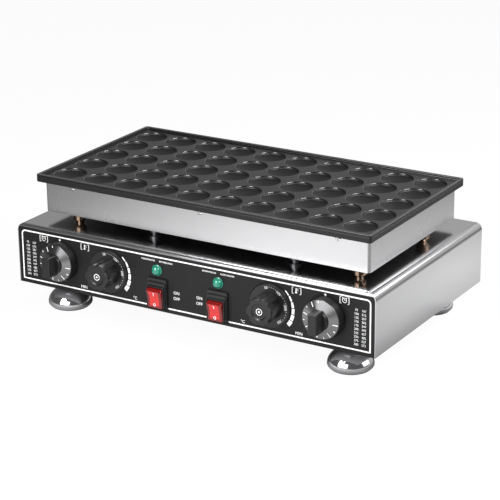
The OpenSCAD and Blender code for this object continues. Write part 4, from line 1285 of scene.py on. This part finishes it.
class MakeSwitches(bpy.types.Operator):
    """Red rockers in stepped bezels"""

    bl_idname = "pancake.switches"
    bl_label = "Switches"

    def execute(self, context):
        sizes = context.scene.pancake_switches
        tone = context.scene.pancake_colours.rocker
        ink = 2 * context.scene.pancake_print.ink
        for side in SIDES:
            node = f"switch_housing_{side}"
            body = f"rocker_{side}"
            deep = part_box(node)[1].y - PANEL_FRONT
            middle = JOINT_AT[f"rocker_{side}_tip"]
            place = panel_place(middle.x, middle.z)
            rest = place @ raised(PANEL_FRONT - middle.y) @ Matrix.Rotation(sizes.throw / 2, 4, "X")
            make_piece(f"switch_bezel_{side}", lambda bm: self.bezel(bm, sizes, deep), place, "base",
                       finish("black_plastic"), [node])
            red = rocker_finish(tone, middle, 0.32 * sizes.rocker_w, 0.36 * sizes.rocker_h)
            make_piece(f"rocker_cap_{side}", lambda bm: self.rocker(bm, sizes), rest, body,
                       red, [body], sharp=50)
            make_piece(f"rocker_marks_{side}", lambda bm: self.marks(bm, sizes, ink), rest, body,
                       finish("white_ink"))
        return {"FINISHED"}

    def valley(self, sizes):
        """Height of the rocker's middle over its pivot."""
        return sizes.rocker_face - sizes.rocker_h / 2 * math.tan(sizes.throw / 2)

    def bezel(self, bm, sizes, deep):
        """Tiers that close in on the rocker, its well, and the body behind the panel."""
        edge = 0.5 * MM
        corner = 2 * MM
        well_corner = 0.6 * MM
        well_depth = 14 * MM
        well_w, well_h = (size + 2 * sizes.rocker_gap for size in (sizes.rocker_w, sizes.rocker_h))
        body_w, body_h = (size + 2 * sizes.wall for size in (well_w, well_h))
        body = round_rect(body_w, body_h, corner / 2)
        profile = [(body, -deep), (body, 0)]
        low = 0
        for k in range(sizes.tiers + 1):
            t = k / sizes.tiers
            high = sizes.bezel_t + k * sizes.tier_h
            w = sizes.bezel_w + (body_w - sizes.bezel_w) * t
            h = sizes.bezel_h + (body_h - sizes.bezel_h) * t
            lift = Vector((0, sizes.bezel_rise * (1 - t)))
            tier = [p + lift for p in round_rect(w, h, corner)]
            profile += [(tier, low), (tier, high - edge)]
            profile += [(inset(tier, 0.3 * edge), high - 0.3 * edge), (inset(tier, edge), high)]
            low = high
        well = round_rect(well_w, well_h, well_corner)
        profile += [(inset(well, -0.6 * edge), low), (well, low - edge), (well, -well_depth)]
        stack(bm, profile, caps=BOTH_ENDS)

    def rocker(self, bm, sizes):
        """Two faces that meet in a shallow valley; the ends are rounded about the pivot."""
        half = sizes.rocker_h / 2
        root = 7 * MM
        edge = 1.4 * MM
        fillet = 0.25 * MM
        steps = 6
        slope = math.tan(sizes.throw / 2)
        valley = self.valley(sizes)
        corner = math.asin(valley * math.cos(sizes.throw / 2) / half) + sizes.throw / 2
        arc = [polar(half, corner * k / steps) for k in range(steps + 1)]
        crest = []
        for k in range(steps - 1, -steps, -1):
            across = arc[-1].x * k / steps
            soft = fillet * (1 - abs(across) / half) ** 4
            crest.append(Vector((across, valley + abs(across) * slope + soft)))
        outline = arc + crest + [Vector((-p.x, p.y)) for p in reversed(arc)]
        outline += [Vector((-half / 2, -root)), Vector((half / 2, -root))]
        sides = [(edge * (1 - s), edge * (1 - c) - sizes.rocker_w / 2) for s, c in quarter(3)]
        sides += [(shrink, -x) for shrink, x in reversed(sides)]
        loops = [[bm.verts.new((x, p.x, p.y)) for p in inset(outline, shrink)] for shrink, x in sides]
        join_rings(bm, loops, caps=BOTH_ENDS)

    def marks(self, bm, sizes, ink):
        """A bar on the upper face and a ring on the lower one."""
        away = 0.55 * sizes.rocker_h / 2
        clear = 0.03 * MM
        shapes = {
            1: lambda part: slab(part, round_rect(0.9 * MM, 4.6 * MM, 0), 0, ink),
            -1: lambda part: band(part, circle(2.1 * MM, 32), circle(1.4 * MM, 32), 0, ink),
        }
        for end, shape in shapes.items():
            tilt = Matrix.Rotation(end * sizes.throw / 2, 4, "X")
            put(bm, raised(self.valley(sizes)) @ tilt @ Matrix.Translation((0, end * away, clear)), shape)


class MakeLamps(bpy.types.Operator):
    """Domed green lenses in collars"""

    bl_idname = "pancake.lamps"
    bl_label = "Lamps"

    def execute(self, context):
        material = finish("lens_green")
        for side in SIDES:
            node = f"lamp_lens_{side}"
            low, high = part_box(node)
            r = half_width(node)
            place = panel_place((low.x + high.x) / 2, (low.z + high.z) / 2)
            dome_r, dome_z, dome_low = 0.86 * r, 1.6, 0.2
            dome_h = (high.y - low.y) / MM - dome_z
            dome = [(0, dome_low, 0), (dome_r, dome_low, 0)]
            dome += [(dome_r * c, dome_z + dome_h * s, 0) for s, c in quarter(10)]
            make_piece(f"lamp_dome_{side}", lambda bm: lathe(bm, dome, 48), place, "base",
                       material, [node], sharp=70)
            bore = 0.84 * r
            collar = [(bore, 0, 0), (r, 0, 0.2), (r, 1.4, 0.5), (0.9 * r, 2, 0.4), (bore, 1.8, 0.1)]
            make_piece(f"lamp_collar_{side}", lambda bm: lathe(bm, collar, 48, closed=True), place, "base",
                       material)
        return {"FINISHED"}


# Feet


class MakeFeet(bpy.types.Operator):
    """Chrome bells on threaded studs, with rubber rings below"""

    bl_idname = "pancake.feet"
    bl_label = "Feet"

    def execute(self, context):
        for foot in FEET:
            node = f"foot_{foot}"
            pad = f"foot_pad_{foot}"
            low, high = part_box(node)
            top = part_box(pad)[1].z / MM
            joint = low.z / MM
            r = half_width(pad)
            middle = JOINT_AT[f"foot_{foot}_turn"]
            place = Matrix.Translation((middle.x, middle.y, 0))
            make_piece(f"foot_bell_{foot}", lambda bm: self.bell(bm, half_width(node), joint, high.z / MM),
                       place, node, finish("foot_chrome"), [node])
            ring = [
                (0, 0.6, 0), (r - 6, 0.6, 0.3), (r - 5, 0, 0.3), (r, 0, 0.3), (r, joint, 0.2),
                (r - 3, joint, 0), (r - 3, top, 0.3), (0, top, 0)]
            make_piece(f"foot_ring_{foot}", lambda bm: lathe(bm, ring), place, node,
                       finish("foot_rubber"), [pad])
        return {"FINISHED"}

    def bell(self, bm, r, low, high):
        """A domed bell over a drawn-in foot, and a stud with the crests of its thread."""
        waist, top, crown_r, foot_r = 6, 28, 8, r - 3
        stud_r, root_r, turn = 4, 3.4, 1.25
        foot_steps, dome_steps = 8, 24
        a_crown = math.acos(crown_r / r)
        a_foot = math.acos(foot_r / r)
        profile = [(0, low), (foot_r, low)]
        for k in range(foot_steps - 1, 0, -1):
            a = a_foot * k / foot_steps
            profile.append((r * math.cos(a), waist - (waist - low) * math.sin(a) / math.sin(a_foot)))
        for k in range(dome_steps + 1):
            a = a_crown * k / dome_steps
            profile.append((r * math.cos(a), waist + (top - waist) * math.sin(a) / math.sin(a_crown)))
        profile.append((root_r, top))
        z = top + turn / 2
        while z < high - turn:
            profile += [(stud_r, z), (root_r, z + turn / 2)]
            z += turn
        profile += [(root_r, high), (0, high)]
        lathe(bm, [(x, z, 0) for x, z in profile])


# Stage


def light_pool(tree, middle, size, reach, strength):
    """Strength of an oval patch of light on the floor, from its middle outwards."""
    offset = calc_vector(tree, "SUBTRACT", object_spot(tree), middle)
    scaled = calc_vector(tree, "DIVIDE", offset, size)
    return remap(tree, calc_vector(tree, "LENGTH", scaled, output="Value"), reach, strength)


def contact_shade(tree, half, reach, darkest):
    """From the darkest value under a block of the given half size up to one at the reach beside it."""
    side = calc_vector(tree, "ABSOLUTE", object_spot(tree))
    past = calc_vector(tree, "SUBTRACT", side, (half.x, half.y, 0))
    beyond = calc_vector(tree, "MAXIMUM", past)
    return remap(tree, calc_vector(tree, "LENGTH", beyond, output="Value"), (0, reach), (darkest, 1))


class SetStage(bpy.types.Operator):
    """Pale floor, soft light and the camera of the photograph"""

    bl_idname = "pancake.stage"
    bl_label = "Stage"

    def execute(self, context):
        stage = context.scene.pancake_stage
        context.scene.view_settings.view_transform = "Standard"
        self.floor()
        self.sky(context.scene, stage)
        front_share = 2.4
        middle = (0, 0, 0.1)
        lights = (
            ("key_light", (1.25, -0.05, 1.25), middle, (0.9, 0.7), stage.key),
            ("left_light", (-0.35, -1.2, 1.25), middle, (0.6, 0.65), stage.left),
            ("side_card", (1.3, 0.35, 0.45), (0.2, 0, 0.05), (0.9, 0.6), stage.cards),
            ("front_card", (-0.1, -1.35, 0.5), (0, -0.1, 0.05), (1.2, 0.8), front_share * stage.cards),
            ("rear_light", (0.75, 0.8, 0.75), middle, (0.45, 0.45), stage.rear),
        )
        for light in lights:
            self.soft_light(*light)
        self.camera(context.scene, stage)
        return {"FINISHED"}

    def floor(self):
        """White for the camera and through glass, pools of light in mirrors, matte for all else."""
        half = 9.0
        seen, mirrored = 0.95, 0.85
        mesh = bpy.data.meshes.new("floor")
        corners = [(-half, -half, 0), (half, -half, 0), (half, half, 0), (-half, half, 0)]
        mesh.from_pydata(corners, [], [(0, 1, 2, 3)])
        floor = link_new("floor", mesh)
        material = bpy.data.materials.new("pale_floor")
        material.use_nodes = True
        tree = material.node_tree
        tree.nodes.remove(tree.nodes["Principled BSDF"])
        front = light_pool(
            tree, middle=(-0.02, -0.5, 0), size=(0.5, 0.5, 1), reach=(0.2, 1), strength=(1.35, 0.08))
        beside = light_pool(
            tree, middle=(0.37, 0.28, 0), size=(0.1, 0.3, 1), reach=(0, 2), strength=(0.85, 0.1))
        low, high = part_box("base_shell")
        block = (high - low) / 2 + Vector((0.015, -0.05, 0))
        clear = contact_shade(tree, block, reach=0.06, darkest=0.1)
        pool = calc(tree, "MULTIPLY", calc(tree, "MAXIMUM", front, beside), clear)
        path = add_node(tree, "ShaderNodeLightPath").outputs
        glossy = path["Is Glossy Ray"]
        direct = calc(tree, "MAXIMUM", path["Is Camera Ray"], path["Is Transmission Ray"])
        share = calc(tree, "MULTIPLY_ADD", glossy, mirrored, calc(tree, "MULTIPLY", direct, seen))
        strength = calc(tree, "MULTIPLY_ADD", glossy, pool, direct)
        matte = out_of(tree, "ShaderNodeBsdfDiffuse", {"Color": (0.9, 0.9, 0.9, 1)})
        white = out_of(tree, "ShaderNodeEmission", {"Strength": strength})
        mix = out_of(tree, "ShaderNodeMixShader", {0: share, 1: matte, 2: white})
        feed(tree, tree.nodes["Material Output"], {"Surface": mix})
        mesh.materials.append(material)

    def sky(self, scene, stage):
        """A sky that is bright over the rear and dark overhead, to the left and in front."""
        world = bpy.data.worlds.new("studio")
        scene.world = world
        world.use_nodes = True
        tree = world.node_tree
        brightest = Vector((0.15, 0.88, 0.43)).normalized()
        way = out_of(tree, "ShaderNodeTexCoord", output="Generated")
        facing = calc_vector(tree, "DOT_PRODUCT", way, brightest, output="Value")
        shade = remap(tree, facing, (0.45, 1), (stage.sky_dark, stage.sky_bright))
        seen = out_of(tree, "ShaderNodeLightPath", output="Is Camera Ray")
        feed(tree, tree.nodes["Background"], {
            "Color": (1, 1, 1, 1), "Strength": calc(tree, "MAXIMUM", shade, seen)})

    def soft_light(self, name, place, target, size, power):
        lamp = bpy.data.lights.new(name, "AREA")
        lamp.shape = "RECTANGLE"
        lamp.size, lamp.size_y = size
        lamp.energy = power
        light = link_new(name, lamp)
        light.location = place
        light.rotation_euler = (Vector(place) - Vector(target)).to_track_quat("Z", "Y").to_euler()

    def camera(self, scene, stage):
        view = bpy.data.cameras.new("photo_camera")
        view.lens = stage.lens
        view.sensor_width = 36
        view.clip_end = 50
        camera = link_new("photo_camera", view)
        yaw = stage.heading
        level = Vector((math.cos(yaw), math.sin(yaw), 0))
        ahead = Vector((-math.sin(yaw), math.cos(yaw), 0)) * math.cos(stage.pitch)
        ahead.z = -math.sin(stage.pitch)
        upright = level.cross(ahead)
        right = level * math.cos(stage.roll) + upright * math.sin(stage.roll)
        up = upright * math.cos(stage.roll) - level * math.sin(stage.roll)
        turn = Matrix((right, up, -ahead)).transposed()
        camera.matrix_world = Matrix.Translation(stage.camera_at) @ turn.to_4x4()
        scene.camera = camera


# Panel, registration and the run


STEPS = (
    SetStage, MakeBase, PrintPanel, MakeCookingPlate, MakeHeaterBox, MakePillars, MakeScrews,
    MakeTimerKnobs, MakeThermostatKnobs, MakeSwitches, MakeLamps, MakeFeet,
)
GROUPS = {
    "pancake_plate": PlateSizes,
    "pancake_print": PanelPrint,
    "pancake_knobs": KnobSizes,
    "pancake_switches": SwitchSizes,
    "pancake_colours": Colours,
    "pancake_stage": StageSetup,
}


class PancakePanel(bpy.types.Panel):
    """Steps that build the pancake maker"""

    bl_idname = "VIEW3D_PT_pancake_maker"
    bl_label = "Mini Pancake Maker"
    bl_space_type = "VIEW_3D"
    bl_region_type = "UI"
    bl_category = "Pancake Maker"

    def draw(self, context):
        for step in STEPS:
            self.layout.operator(step.bl_idname)
        for name in GROUPS:
            column = self.layout.column()
            group = getattr(context.scene, name)
            for key in group.__annotations__:
                column.prop(group, key)


def register():
    for name, group in GROUPS.items():
        bpy.utils.register_class(group)
        setattr(bpy.types.Scene, name, PointerProperty(type=group))
    for step in STEPS:
        bpy.utils.register_class(step)
    bpy.utils.register_class(PancakePanel)


def unregister():
    bpy.utils.unregister_class(PancakePanel)
    for step in reversed(STEPS):
        bpy.utils.unregister_class(step)
    for name, group in reversed(GROUPS.items()):
        delattr(bpy.types.Scene, name)
        bpy.utils.unregister_class(group)


def main():
    register()
    for step in STEPS:
        area, name = step.bl_idname.split(".")
        getattr(getattr(bpy.ops, area), name)()


if __name__ == "__main__":
    main()
